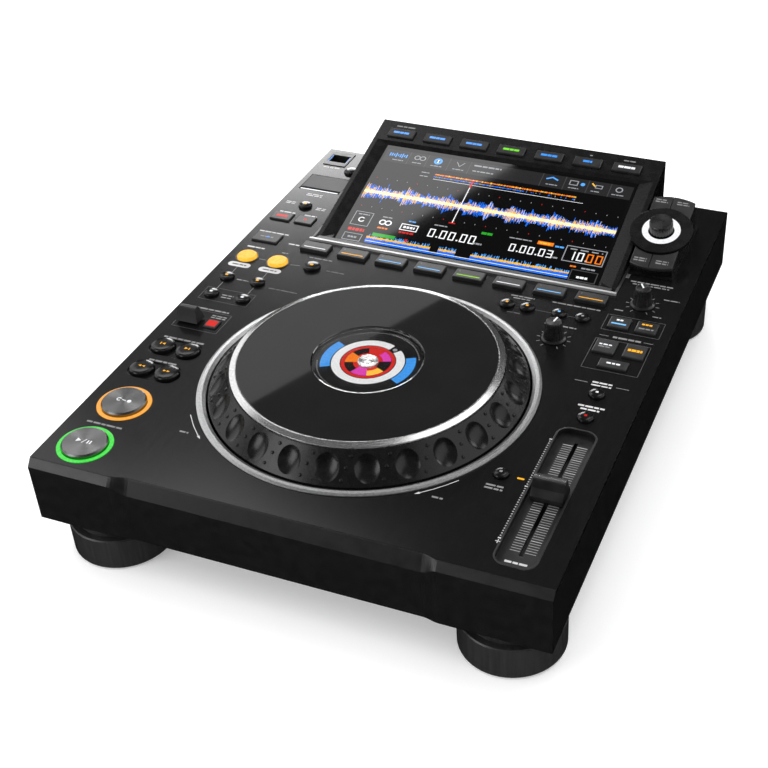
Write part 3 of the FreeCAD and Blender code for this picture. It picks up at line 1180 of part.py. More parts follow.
def selector():
    left = "pod_left - pod_x"
    right = "pod_right - pod_x"
    under = number(f"{KEY_LOW} - pod_key_press - fit_gap")
    tall = number("pod_high") * 2
    column = pod_outline(left, right, "pod_half_long").extrude(FreeCAD.Vector(0, 0, tall))
    column.translate(FreeCAD.Vector(0, 0, under - tall))
    lean = FreeCAD.Placement(FreeCAD.Vector(number("pod_x"), number("pod_y"), number("panel_top + pod_high")),
                             FreeCAD.Rotation(FreeCAD.Vector(1, 0, 0), number("pod_tilt")))
    column.Placement = lean.multiply(column.Placement)
    reach = number("2 * pod_half_long")
    above = Part.makeBox(2 * reach, 2 * reach, reach, FreeCAD.Vector(number("pod_x") - reach,
                                                                    number("pod_y") - reach,
                                                                    number("panel_top")))
    disc = Part.makeCylinder(number("pod_ring"), number("pod_ring_thick"),
                             FreeCAD.Vector(0, 0, -number("pod_ring_thick")))
    core_radius = min(number(right), -number(left))
    core = Part.makeCylinder(core_radius, -under, FreeCAD.Vector(0, 0, under))
    seat_deep = number("pod_light_deep")
    over = number("cut_over")
    light_seat = Part.makeCylinder(number("pod_light + pod_light_fit"), seat_deep + over,
                                   FreeCAD.Vector(0, 0, -seat_deep))
    bore = Part.makeCylinder(number("selector_shaft + selector_fit"), number("selector_shaft_long") + over,
                             FreeCAD.Vector(0, 0, -number("selector_shaft_long")))
    flange_box = Part.makeBox(number("pod_right - pod_left + pod_flange"),
                              number("2 * pod_half_long + pod_flange_run"), number("pod_flange_thick"),
                              FreeCAD.Vector(number("pod_left"),
                                             number("pod_y - pod_half_long + pod_flange_run / 3"),
                                             number("panel_top")))
    tools = [light_seat, bore]
    discs = [disc, core]
    for item in tools + discs:
        item.Placement = lean.multiply(item.Placement)
    shape = column.fuse(discs).common(above).fuse(flange_box).cut(tools).removeSplitter()
    pod = doc.addObject("Part::Feature", "pod")
    pod.Shape = shape
    node(pod, "selector_pod")

    rim = Part.makeCylinder(number("pod_ring + fit_gap"), tall, FreeCAD.Vector(0, 0, -tall / 2))
    split = number("fit_gap") / 2
    plate = pod_outline(left, right, "pod_half_long").extrude(FreeCAD.Vector(0, 0, number("pod_key_thick")))
    plate.translate(FreeCAD.Vector(0, 0, number(KEY_LOW)))
    solids = []
    for side in (-1, 1):
        for end in (-1, 1):
            x0 = split if side > 0 else -reach
            y0 = 0 if end > 0 else -reach
            quarter = Part.makeBox(reach - split, reach, tall, FreeCAD.Vector(x0, y0, -tall / 2))
            key = plate.common(quarter).cut(rim)
            top = [edge for edge in key.Edges
                   if all(abs(v.Z - number("-pod_ring_rise")) < 0.001 for v in edge.Vertexes)]
            solids += key.makeChamfer(number("key_bevel"), top).Solids
    keys = doc.addObject("Part::Feature", "pod_keys")
    keys.Shape = Part.makeCompound(solids)
    at_pod(keys)
    node(keys, "selector_keys")

    guide = turned("selector_guide", [("pod_light_inner", "-pod_light_deep"),
                                      ("pod_light", "-pod_light_deep"),
                                      ("pod_light", "snug_gap"), ("pod_light_inner", "snug_gap")])
    at_pod(guide)
    shaft_low = "-selector_shaft_long + fit_gap"
    shaft = turned("selector_axle", [("0", shaft_low), ("selector_shaft", shaft_low),
                                     ("selector_shaft", "selector_lap"), ("0", "selector_lap")])
    at_pod(shaft)
    node(shaft, "selector_shaft")
    low = "selector_press + fit_gap + snug_gap"
    grip = turned("selector_grip", [("selector_shaft + fit_gap", low), ("selector_radius", low),
                                    ("selector_radius", "selector_high - selector_round"),
                                    ("selector_radius - selector_round", "selector_high"),
                                    ("0", "selector_high"), ("0", "selector_lap + selector_press + fit_gap"),
                                    ("selector_shaft + fit_gap", "selector_lap + selector_press + fit_gap")])
    groove = grip.newObject("PartDesign::SubtractiveCylinder", "grip_groove")
    bind(groove, Radius="selector_groove", Height="selector_high")
    groove.Placement.Base = FreeCAD.Vector(number("selector_radius + selector_groove_out"), 0, 0)
    polar(grip, groove, "selector_flutes")
    at_pod(grip)
    node(grip, "selector_knob")
    return guide


# Tempo fader.
def rounded_bar(name, x, y, width, length, z0, z1, radius):
    body = new_body(name)
    pad(body, rectangle(new_sketch(body, lift=z0), f"{x} - ({width}) / 2", f"{x} + ({width}) / 2",
                        f"{y} - ({length}) / 2", f"{y} + ({length}) / 2"), f"({z1}) - ({z0})")
    doc.recompute()
    block = body.Tip
    upright = [f"Edge{i}" for i, edge in enumerate(block.Shape.Edges, start=1)
               if abs(edge.Vertexes[0].Z - edge.Vertexes[-1].Z) > 0.001]
    corner = body.newObject("PartDesign::Fillet", name + "_round")
    corner.Base = (block, upright)
    bind(corner, Radius=radius)
    return body


def fader():
    spot = ("tray_x", "tray_y")
    floor = "panel_top - tray_deep"
    under = f"{floor} - tray_floor"
    outer = rounded_bar("tray_outer", *spot, "tray_width + 2 * tray_wall", "tray_long + 2 * tray_wall",
                        under, "panel_top", "tray_round + tray_wall")
    rim = "2 * tray_wall + 2 * tray_flange"
    flange = box("tray_rim", f"tray_x - (tray_width + {rim}) / 2", f"tray_x + (tray_width + {rim}) / 2",
                 f"tray_y - (tray_long + {rim}) / 2", f"tray_y + (tray_long + {rim}) / 2", under, PANEL_UNDER)
    space = rounded_bar("tray_space", *spot, "tray_width", "tray_long", floor, "panel_top + cut_over",
                        "tray_round")
    slot_half = "(fader_travel + stem_long / 2 + fit_gap)"
    slot = box("tray_slot", "slot_x - slot_width / 2", "slot_x + slot_width / 2", f"slot_y - {slot_half}",
               f"slot_y + {slot_half}", f"{under} - cut_over", "panel_top")
    node(cut("tray", combine("MultiFuse", "tray_block", [outer, flange]), [space, slot]), "fader_tray")
    holes.append(rounded_bar("tray_hole", *spot, "tray_width + 2 * (tray_wall + snug_gap)",
                             "tray_long + 2 * (tray_wall + snug_gap)", f"{PANEL_UNDER} - cut_over",
                             "panel_top + cut_over", "tray_round + tray_wall + snug_gap"))
    unit = box("fader_block", "slot_x - fader_unit_width / 2", "slot_x + fader_unit_width / 2",
               f"slot_y - {slot_half} - fader_unit_over", f"slot_y + {slot_half} + fader_unit_over",
               f"{under} - fader_unit_deep", under)
    channel = box("fader_channel", "slot_x - slot_width / 2", "slot_x + slot_width / 2",
                  f"slot_y - {slot_half}", f"slot_y + {slot_half}",
                  f"{under} - fader_unit_deep + fader_unit_floor", f"{under} + cut_over")
    node(cut("slide_control", unit, [channel]), "fader_unit")
    cap = new_body("cap")
    side = [("-cap_long / 2", "panel_top - cap_low"), ("cap_long / 2", "panel_top - cap_low"),
            ("cap_long / 2", "panel_top - cap_low + cap_wall"),
            ("cap_top_long / 2 + cap_slope", "panel_top + cap_high * cap_waist"),
            ("cap_top_long / 2", "panel_top + cap_high"), ("-cap_top_long / 2", "panel_top + cap_high"),
            ("-cap_top_long / 2 - cap_slope", "panel_top + cap_high * cap_waist"),
            ("-cap_long / 2", "panel_top - cap_low + cap_wall")]
    pad(cap, polygon(new_sketch(cap, "YZ_Plane", lift="-cap_width / 2"), side), "cap_width")
    stem_low = f"{under} - fader_unit_deep + stem_lift"
    stem = rectangle(new_sketch(cap, lift=stem_low), "-stem_thick / 2",
                     "stem_thick / 2", "-stem_long / 2", "stem_long / 2")
    pad(cap, stem, f"panel_top - cap_low - ({stem_low}) + cut_over")
    bevel(cap, "key_bevel", level("panel_top + cap_high"))
    place(cap, "slot_x", "slot_y")
    node(cap, "fader_cap")


# Sockets on the panel.
def usb_port():
    half_w, half_l = "(usb_width / 2)", "(usb_long / 2)"
    block = box("usb_block", f"usb_x - {half_w}", f"usb_x + {half_w}", f"usb_y - {half_l}",
                f"usb_y + {half_l}", "panel_top - usb_deep", "panel_top + usb_proud")
    lip = box("usb_flange", f"usb_x - {half_w} - usb_lip", f"usb_x + {half_w} + usb_lip",
              f"usb_y - {half_l} - usb_lip", f"usb_y + {half_l} + usb_lip", f"{PANEL_UNDER} - usb_lip",
              PANEL_UNDER)
    well = box("usb_well", "usb_x - usb_well_width / 2", "usb_x + usb_well_width / 2",
               "usb_y - usb_well_long / 2", "usb_y + usb_well_long / 2", "panel_top - usb_well_deep",
               "panel_top + usb_proud + cut_over")
    shell = box("usb_shell", "usb_x - usb_shell_width / 2", "usb_x + usb_shell_width / 2",
                "usb_y - usb_shell_long / 2", "usb_y + usb_shell_long / 2", "panel_top - usb_deep + usb_floor",
                "panel_top")
    tongue = box("usb_tongue", "usb_x - usb_tongue_width / 2", "usb_x + usb_tongue_width / 2",
                 "usb_y + usb_shell_long / 2 - usb_tongue_thick - usb_tongue_gap",
                 "usb_y + usb_shell_long / 2 - usb_tongue_gap", "panel_top - usb_deep + usb_floor / 2",
                 "panel_top - usb_well_deep - usb_tongue_gap")
    socket = cut("usb_socket", combine("MultiFuse", "usb_mass", [block, lip]), [well, shell])
    node(combine("MultiFuse", "usb", [socket, tongue]), "usb_port")
    square_hole("usb_x", "usb_y", "usb_width + 2 * snug_gap", "usb_long + 2 * snug_gap")


def sd_slot():
    half_w, half_l = "(sd_width / 2)", "(sd_long / 2)"
    block = box("sd_block", f"sd_x - {half_w} - sd_wall", f"sd_x + {half_w} + sd_wall",
                f"sd_y - {half_l} - sd_wall", f"sd_y + {half_l} + sd_wall", "panel_top - sd_deep", PANEL_UNDER)
    recess = box("sd_recess", f"sd_x - {half_w}", f"sd_x + {half_w}", f"sd_y - {half_l}", f"sd_y + {half_l}",
                 "panel_top - sd_floor", "panel_top")
    slit = box("sd_slit", "sd_x - sd_slit_width / 2", "sd_x + sd_slit_width / 2", "sd_y - sd_slit_long / 2",
               "sd_y + sd_slit_long / 2", "panel_top - sd_deep + sd_bottom", "panel_top")
    pin_y = f"sd_y + {half_l} - fit_gap * 2 - sd_hinge_inset"
    ears = []
    for side in (-1, 1):
        x = f"sd_x + {side} * ({half_w} - sd_ear_inset)"
        ears.append(box("sd_ear", f"{x} - sd_ear_half", f"{x} + sd_ear_half", f"{pin_y} - sd_ear_long",
                        f"{pin_y} - fit_gap", "panel_top - sd_floor - sd_sink",
                        "panel_top - sd_lid_thick - sd_hinge_radius - fit_gap"))
    socket = combine("MultiFuse", "sd_ears", [cut("sd_socket", block, [recess, slit])] + ears)
    node(socket, "sd_slot")
    square_hole("sd_x", "sd_y", "sd_width", "sd_long")
    body = new_body("lid")
    outline = rectangle(new_sketch(body, lift="panel_top - sd_lid_thick"), f"-{half_w} + fit_gap",
                        f"{half_w} - fit_gap", f"-{half_l} + sd_step", f"{half_l} - fit_gap * 2")
    pad(body, outline, "sd_lid_thick")
    pin = circle(new_sketch(body, "YZ_Plane", lift=f"-{half_w} + fit_gap"),
                 f"{half_l} - fit_gap * 2 - sd_hinge_inset", "panel_top - sd_lid_thick", "sd_hinge_radius")
    pad(body, pin, "sd_width - 2 * fit_gap")
    place(body, "sd_x", "sd_y")
    node(body, "sd_lid")


def top_panel():
    outline = [(x, top_y(share)) for x, share in stations]
    outline += [(HALF_WIDTH, "case_rear"), (f"-{HALF_WIDTH}", "case_rear")]
    plate = new_body("panel_plate")
    pad(plate, polygon(new_sketch(plate, lift=PANEL_UNDER), outline), "panel_thick")
    under, over = f"{PANEL_UNDER} - cut_over", "panel_top + cut_over"
    jog_hole = cylinder("jog_hole", "jog_x", "jog_y", under, over, "bezel_seat")
    side = f"({GLASS_HALF} + tub_lap + snug_gap)"
    display_hole = box("display_opening", f"-{side}", side, "display_front - snug_gap",
                       f"display_front + {TUB_RUN} + snug_gap", under, over)
    recesses = []
    for i, y in enumerate(("track_y", "search_y")):
        margin = "(transport_radius + transport_margin)"
        recesses.append(rounded_bar(f"button_recess_{i}", "(transport_left + transport_right) / 2", y,
                                    f"transport_right - transport_left + 2 * {margin}", f"2 * {margin}",
                                    "panel_top - transport_recess", over, "transport_radius"))
    node(cut("panel", plate, [jog_hole, display_hole] + recesses + holes), "top_panel")


# Key boards: left, right, front and rear edges, and the posts that hang them from the panel.
BOARD_LEFT = "jog_x - cup_flange - board_clear_left"
BOARD_RIGHT = "jog_x + cup_flange + board_clear_right"
BOARD_FRONT = "reloop_y + board_reach"
BOARD_MIDDLE = "cue_loop_back_y - board_reach"
POST_INSET = "1.5 * board_post"
BOARD_OUTLINES = [
    (f"-{HALF_WIDTH} + wall + board_margin", BOARD_LEFT, f"{BAR_BACK} + board_reach",
     "sd_y - sd_long / 2 - board_reach"),
    (BOARD_LEFT, "reloop_x + board_reach", "reloop_y - board_reach", BOARD_FRONT),
    (BOARD_LEFT, BOARD_RIGHT, BOARD_FRONT, "display_front - board_behind"),
    ("cue_loop_back_x - board_reach", BOARD_RIGHT, BOARD_MIDDLE, BOARD_FRONT),
    ("speed_x - board_reach", BOARD_RIGHT, "speed_y - board_reach", BOARD_MIDDLE),
    (BOARD_RIGHT, f"{HALF_WIDTH} - wall - board_margin", "master_tempo_y - board_reach",
     "release_y + board_reach"),
    ("tempo_reset_x - tempo_reset_radius - board_post", BOARD_RIGHT, "tempo_reset_y - board_reach",
     "tempo_reset_y + tempo_reset_radius + board_post"),
    ("round_a_x - round_a_radius - board_post", "round_a_x + board_reach", "round_a_y - board_reach",
     "round_a_y + board_reach"),
]
LEFT_POST = f"-{HALF_WIDTH} + wall + board_margin + board_post"
RIGHT_POST = f"{HALF_WIDTH} - wall - board_margin - board_post"
BOARD_POSTS = [
    (LEFT_POST, "search_y - 2 * board_reach"),
    (LEFT_POST, "round_b_y + board_reach / 2"),
    (f"{BOARD_LEFT} - {POST_INSET}", "play_y + 2 * board_reach"),
    (f"{BOARD_LEFT} - {POST_INSET}", f"{BOARD_FRONT} + 2 * board_post"),
    (f"{BOARD_RIGHT} - {POST_INSET}", f"display_front - board_behind - {POST_INSET}"),
    ("jog_x", f"{BOARD_FRONT} + {POST_INSET}"),
    (RIGHT_POST, "master_tempo_y"),
    (RIGHT_POST, "release_y - board_reach"),
    ("tempo_reset_x - tempo_reset_radius", "tempo_reset_y - board_reach + board_post"),
    ("round_a_x + board_reach - board_post", "round_a_y - board_reach + board_post"),
]


def control_board():
    """Key boards at the left, the right and behind the jog wheel, with their switches and posts."""
    top = "panel_top - board_top"
    low = f"{top} - board_thick"
    boards = [box("key_board", *outline, low, top) for outline in BOARD_OUTLINES]
    posts = []
    for x, y in BOARD_POSTS:
        posts.append(cylinder("board_post", x, y, top, PANEL_UNDER, "board_post"))
    return boards + posts


def power_supply():
    low = "case_bottom + base_thick + standoff_high"
    board = box("supply_board", "supply_x - supply_width / 2", "supply_x + supply_width / 2",
                "supply_y - supply_long / 2", "supply_y + supply_long / 2", low, f"{low} + board_thick")
    top = f"{low} + board_thick"
    parts = [box("transformer", "supply_x - transformer_width / 2", "supply_x + transformer_width / 2",
                 "supply_y - transformer_front", "supply_y + transformer_rear", top,
                 f"{top} + transformer_high"),
             cylinder("capacitor", "supply_x - capacitor_x", "supply_y + capacitor_y", top,
                      f"{top} + capacitor_large_high", "capacitor_large"),
             cylinder("capacitor", "supply_x + capacitor_x", "supply_y + capacitor_y", top,
                      f"{top} + capacitor_small_high", "capacitor_small"),
             box("heat_sink", "supply_x - sink_x - sink_thick / 2", "supply_x - sink_x + sink_thick / 2",
                 "supply_y - sink_front", "supply_y + sink_rear", top, f"{top} + sink_high")]
    node(combine("MultiFuse", "supply", [board] + parts), "power_supply")


def main_board():
    low = "case_bottom + base_thick + standoff_high"
    top = f"{low} + board_thick"
    board = box("logic_board", "main_board_x - main_board_width / 2", "main_board_x + main_board_width / 2",
                "main_board_y - main_board_long / 2", "main_board_y + main_board_long / 2", low, top)
    chips = [box("chip", f"main_board_x + {name}_x", f"main_board_x + {name}_x + {name}_size",
                 f"main_board_y + {name}_y", f"main_board_y + {name}_y + {name}_size", top,
                 f"{top} + chip_high") for name, *_ in CHIPS]
    node(combine("MultiFuse", "logic", [board] + chips), "main_board")


# Rear connectors, on a plate behind the opening in the rear wall.
REAR_OUT = "case_rear - wall"
REAR_IN = f"{REAR_OUT} - rear_plate_thick"


def rear():
    lap = "rear_plate_lap"
    plate = box("rear_sheet", f"-rear_window_width / 2 - {lap}", f"rear_window_width / 2 + {lap}", REAR_IN,
                REAR_OUT, f"rear_window_low - {lap}", f"rear_window_high + {lap}")
    gaps = []

    def opening(x, width, tall):
        gaps.append(box("rear_gap", f"{x} - ({width}) / 2", f"{x} + ({width}) / 2", f"{REAR_IN} - cut_over",
                        f"{REAR_OUT} + cut_over", f"socket_z - ({tall}) / 2", f"socket_z + ({tall}) / 2"))

    sockets = []
    for name, _ in JACKS:
        spot = (name + "_x", "socket_z")
        low = f"{REAR_IN} - jack_deep"
        barrel = rear_cylinder("jack_barrel", *spot, low, "rear_reach", "jack_radius")
        collar = rear_cylinder("jack_ring", *spot, REAR_OUT, f"{REAR_OUT} + jack_collar", "jack_nut")
        bore = rear_cylinder("jack_hole", *spot, f"{low} + jack_floor", "rear_reach + cut_over", "jack_bore")
        sockets.append(cut("jack", combine("MultiFuse", "jack_mass", [barrel, collar]), [bore]))
        gaps.append(rear_cylinder("rear_gap", *spot, f"{REAR_IN} - cut_over", f"{REAR_OUT} + cut_over",
                                  "jack_radius + jack_fit"))
    lan = box("lan_block", "lan_x - lan_width / 2", "lan_x + lan_width / 2", f"{REAR_IN} - lan_deep",
              f"{REAR_OUT} + lan_proud", "socket_z - lan_tall / 2", "socket_z + lan_tall / 2")
    lan_well = box("lan_well", "lan_x - lan_well_width / 2", "lan_x + lan_well_width / 2",
                   f"{REAR_IN} - lan_deep + lan_floor", f"{REAR_OUT} + lan_proud + cut_over",
                   "socket_z - lan_well_tall / 2", "socket_z + lan_well_tall / 2")
    sockets.append(cut("lan", lan, [lan_well]))
    opening("lan_x", "lan_width + snug_gap", "lan_tall + snug_gap")
    node(combine("Compound", "jacks", sockets), "rear_sockets")

    inlet = box("inlet_block", "inlet_x - inlet_width / 2", "inlet_x + inlet_width / 2",
                f"{REAR_OUT} - inlet_deep", f"{REAR_OUT} + inlet_proud", "socket_z - inlet_tall / 2",
                "socket_z + inlet_tall / 2")
    well = box("inlet_well", "inlet_x - inlet_well_width / 2", "inlet_x + inlet_well_width / 2",
               f"{REAR_OUT} - inlet_well_deep", f"{REAR_OUT} + inlet_proud + cut_over",
               "socket_z - inlet_well_tall / 2", "socket_z + inlet_well_tall / 2")
    pins = [box("inlet_pin", f"inlet_x + {x} - pin_half_wide", f"inlet_x + {x} + pin_half_wide",
                f"{REAR_OUT} - inlet_well_deep - pin_root", f"{REAR_OUT} - pin_deep",
                f"socket_z + {z} - pin_half_tall", f"socket_z + {z} + pin_half_tall")
            for x, z in (("-pin_side", "-pin_low"), ("pin_side", "-pin_low"), ("0", "pin_high"))]
    node(combine("MultiFuse", "inlet", [cut("inlet_hollow", inlet, [well])] + pins), "ac_inlet")
    opening("inlet_x", "inlet_width + snug_gap", "inlet_tall + snug_gap")

    button = new_body("power_switch")
    cap = rectangle(new_sketch(button, "XZ_Plane", lift=f"-({REAR_OUT}) - power_travel - button_proud"),
                    "power_x - power_width / 2", "power_x + power_width / 2", "socket_z - power_tall / 2",
                    "socket_z + power_tall / 2")
    pad(button, cap, "power_travel + button_proud + rear_plate_thick + fit_gap")
    rim = rectangle(new_sketch(button, "XZ_Plane", lift=f"-({REAR_IN}) + fit_gap"),
                    "power_x - power_width / 2 - power_rim", "power_x + power_width / 2 + power_rim",
                    "socket_z - power_tall / 2 - power_rim", "socket_z + power_tall / 2 + power_rim")
    pad(button, rim, "power_rim_thick")
    node(button, "power_button")
    opening("power_x", "power_width + 2 * key_gap", "power_tall + 2 * key_gap")
    node(cut("rear_panel", plate, gaps), "rear_plate")


case_shell()
base_plate()
case_screws()
feet()
guides = controls()
knob("speed_knob", "speed_x", "speed_y")
knob("release_knob", "release_x", "release_y")
direction_lever()
jog()
display()
display_trim()
guides.append(selector())
node(combine("Compound", "guides", guides), "light_rings")
fader()
usb_port()
sd_slot()
top_panel()
boards = control_board()
node(combine("MultiFuse", "key_boards", boards + switches), "control_board")
power_supply()
main_board()
rear()
doc.recompute()

for item in doc.Objects:
    if "Invalid" in item.State or "Error" in item.State:
        raise RuntimeError(f"{item.Name}: {item.State}")
os.makedirs("parts", exist_ok=True)
for item in exports:
    if item.Shape.isNull() or not item.Shape.isValid():
        raise RuntimeError(f"{item.Label}: bad shape")
    item.Shape.exportStep(f"parts/{item.Label}.step")
print(len(exports), "sub-parts")
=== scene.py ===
import math
import random

import bpy
from mathutils import Matrix, Quaternion, Vector


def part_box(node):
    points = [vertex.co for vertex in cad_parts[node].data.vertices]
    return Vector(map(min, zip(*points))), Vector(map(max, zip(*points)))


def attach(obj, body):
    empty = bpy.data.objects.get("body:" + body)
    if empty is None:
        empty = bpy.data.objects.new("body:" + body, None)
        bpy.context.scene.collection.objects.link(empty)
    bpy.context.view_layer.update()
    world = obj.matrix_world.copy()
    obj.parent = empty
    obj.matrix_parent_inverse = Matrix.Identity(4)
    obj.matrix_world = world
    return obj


# Looks of the tabletop media player. Lengths are in millimetres until they reach a mesh.
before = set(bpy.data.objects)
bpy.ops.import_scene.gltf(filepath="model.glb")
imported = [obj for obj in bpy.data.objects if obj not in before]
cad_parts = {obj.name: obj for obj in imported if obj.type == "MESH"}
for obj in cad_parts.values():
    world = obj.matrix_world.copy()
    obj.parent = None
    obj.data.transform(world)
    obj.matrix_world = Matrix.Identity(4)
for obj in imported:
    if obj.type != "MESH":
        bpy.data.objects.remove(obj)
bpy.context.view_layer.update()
MM = 0.001

# Places shared with the solid model, in millimetres from the middle of the panel's top.
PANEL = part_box("top_panel")[1].z
JOG_X, JOG_Y = -2.6, -75.1
DISPLAY_FRONT, DISPLAY_TILT = 79.0, math.radians(14.5)
GLASS_DEEP = 1.5
POD_X, POD_Y, POD_HIGH, POD_TILT = 131.0, 136.0, 19.0, math.radians(15.0)
LENS_HIGH = 16.0
TRAY_DEEP = 4.0
FRAME_FRONT = 73.1
ROUND_TOP, ROUND_DOME = 2.0, 0.6
DISPLAY_KEY_TOP, FLAT_KEY_TOP = 1.8, 1.4
GUIDE_REACH = 22.0

# The picture's marks lie this far over its dark ground
SCREEN_LIFT = 0.07

# Colour sockets of a Mix node
MIX_BELOW, MIX_ABOVE, MIX_COLOUR = 6, 7, 2

# The camera, fitted to the photograph
CAMERA_PLACE = (0.31449, -0.69988, 0.59635)
CAMERA_TURN = (0.87928141, 0.43980577, 0.0927085, 0.15760783)
CAMERA_LENS, CAMERA_SENSOR = 64.4008, 36.0
CAMERA_SHIFT = (-0.102814, -0.007109)

# Dimples round the wheel, and the foot and the top of its sloping rim as radius and height
DIMPLES, FIRST_DIMPLE = 25, 279.2
RIM_FOOT, RIM_TOP = (101.65, 0.7), (87.0, 16.6)
SHEET_LIFT = 0.05


# Materials
def new_material(name):
    made = bpy.data.materials.new(name)
    made.use_nodes = True
    tree = made.node_tree
    tree.nodes.clear()
    output = tree.nodes.new("ShaderNodeOutputMaterial")
    shader = tree.nodes.new("ShaderNodeBsdfPrincipled")
    tree.links.new(shader.outputs["BSDF"], output.inputs["Surface"])
    return made, tree, shader


def position(tree):
    return tree.nodes.new("ShaderNodeTexCoord").outputs["Object"]


def noise(tree, cells, stretch=(1, 1, 1), detail=3.0):
    """Noise with so many cells to the metre, stretched along an axis."""
    mapping = tree.nodes.new("ShaderNodeMapping")
    mapping.inputs["Scale"].default_value = [cells * part for part in stretch]
    tree.links.new(position(tree), mapping.inputs["Vector"])
    texture = tree.nodes.new("ShaderNodeTexNoise")
    texture.inputs["Scale"].default_value = 1.0
    texture.inputs["Detail"].default_value = detail
    tree.links.new(mapping.outputs["Vector"], texture.inputs["Vector"])
    return texture.outputs["Fac"]


def ramp(tree, source, low, high, start=0.35, end=0.65):
    """Colours from low to high as the source goes from start to end."""
    node = tree.nodes.new("ShaderNodeValToRGB")
    node.color_ramp.elements[0].position = start
    node.color_ramp.elements[1].position = end
    node.color_ramp.elements[0].color = (*low, 1)
    node.color_ramp.elements[1].color = (*high, 1)
    tree.links.new(source, node.inputs["Fac"])
    return node.outputs["Color"]


def spread(tree, source, low, high):
    """A number from low to high as the source goes over the middle of its range."""
    node = tree.nodes.new("ShaderNodeMapRange")
    node.inputs["From Min"].default_value = 0.3
    node.inputs["From Max"].default_value = 0.7
    node.inputs["To Min"].default_value = low
    node.inputs["To Max"].default_value = high
    tree.links.new(source, node.inputs["Value"])
    return node.outputs["Result"]


def relief(tree, shader, height, depth, edge):
    """Fine relief of a depth in millimetres, over edges rounded by a radius in millimetres."""
    normal = None
    if edge:
        round_off = tree.nodes.new("ShaderNodeBevel")
        round_off.samples = 4
        round_off.inputs["Radius"].default_value = edge * MM
        normal = round_off.outputs["Normal"]
    if depth:
        bump = tree.nodes.new("ShaderNodeBump")
        bump.inputs["Strength"].default_value = 1.0
        bump.inputs["Distance"].default_value = depth * MM
        tree.links.new(height, bump.inputs["Height"])
        if normal:
            tree.links.new(normal, bump.inputs["Normal"])
        normal = bump.outputs["Normal"]
    if normal:
        tree.links.new(normal, shader.inputs["Normal"])


def finish(name, dark, light, rough=(0.3, 0.4), metallic=0.0, specular=0.5, cells=150,
           stretch=(1, 1, 1), depth=0.0, fine=2500, edge=0.0, coat=0.0, turned=0.0):
    """A painted, moulded or metal surface, its colour and gloss varied by noise."""
    made, tree, shader = new_material(name)
    broad = noise(tree, cells, stretch)
    tree.links.new(ramp(tree, broad, dark, light), shader.inputs["Base Color"])
    tree.links.new(spread(tree, broad, *rough), shader.inputs["Roughness"])
    shader.inputs["Metallic"].default_value = metallic
    shader.inputs["Specular IOR Level"].default_value = specular
    shader.inputs["Coat Weight"].default_value = coat
    shader.inputs["Coat Roughness"].default_value = 0.03
    relief(tree, shader, noise(tree, fine, stretch) if depth else None, depth, edge)
    if turned:
        shader.inputs["Anisotropic"].default_value = turned
        tangent = tree.nodes.new("ShaderNodeTangent")
        tangent.direction_type = "RADIAL"
        tangent.axis = "Z"
        tree.links.new(tangent.outputs["Tangent"], shader.inputs["Tangent"])
    return made


def glow(name, colour, strength=1.0, cells=900, dim=0.8, rough=0.12):
    """A lit surface under a glossy skin, a little uneven as a light guide or a screen is."""
    made, tree, shader = new_material(name)
    shader.inputs["Base Color"].default_value = (*[0.25 * part for part in colour], 1)
    shader.inputs["Roughness"].default_value = rough
    low = [dim * part for part in colour]
    tree.links.new(ramp(tree, noise(tree, cells), low, colour), shader.inputs["Emission Color"])
    shader.inputs["Emission Strength"].default_value = strength
    return made


def shader_of(made):
    return next(node for node in made.node_tree.nodes if node.type == "BSDF_PRINCIPLED")


def less_than(tree, value, limit):
    node = tree.nodes.new("ShaderNodeMath")
    node.operation = "LESS_THAN"
    node.inputs[1].default_value = limit
    tree.links.new(value, node.inputs[0])
    return node.outputs["Value"]


def blend(tree, share, below, above):
    """The colour above where the share is one, and the colour below elsewhere."""
    mix = tree.nodes.new("ShaderNodeMix")
    mix.data_type = "RGBA"
    tree.links.new(share, mix.inputs["Factor"])
    tree.links.new(below, mix.inputs[MIX_BELOW])
    tree.links.new(above, mix.inputs[MIX_ABOVE])
    return mix.outputs[MIX_COLOUR]


def lit_guides(name):
    """Light guides in one node: amber round the cue button, green round the play button, white round the
    selector and dark round the loop buttons."""
    made, tree, shader = new_material(name)
    shader.inputs["Roughness"].default_value = 0.25
    texture = noise(tree, 700)
    colour = ramp(tree, texture, (0.004, 0.004, 0.004), (0.01, 0.009, 0.008))
    for node, low, high in (("cue_button", (0.95, 0.33, 0.008), (1.0, 0.42, 0.015)),
                            ("play_button", (0.012, 0.62, 0.02), (0.02, 0.8, 0.03)),
                            ("selector_knob", (0.85, 0.87, 0.9), (1.0, 1.0, 1.0))):
        distance = tree.nodes.new("ShaderNodeVectorMath")
        distance.operation = "DISTANCE"
        distance.inputs[1].default_value = middle(node)
        tree.links.new(position(tree), distance.inputs[0])
        near = less_than(tree, distance.outputs["Value"], GUIDE_REACH * MM)
        colour = blend(tree, near, colour, ramp(tree, texture, low, high))
    tree.links.new(colour, shader.inputs["Emission Color"])
    shader.inputs["Emission Strength"].default_value = 1.0
    shader.inputs["Base Color"].default_value = (0.03, 0.03, 0.03, 1)
    return made


def middle(node):
    low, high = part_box(node)
    return (low + high) / 2


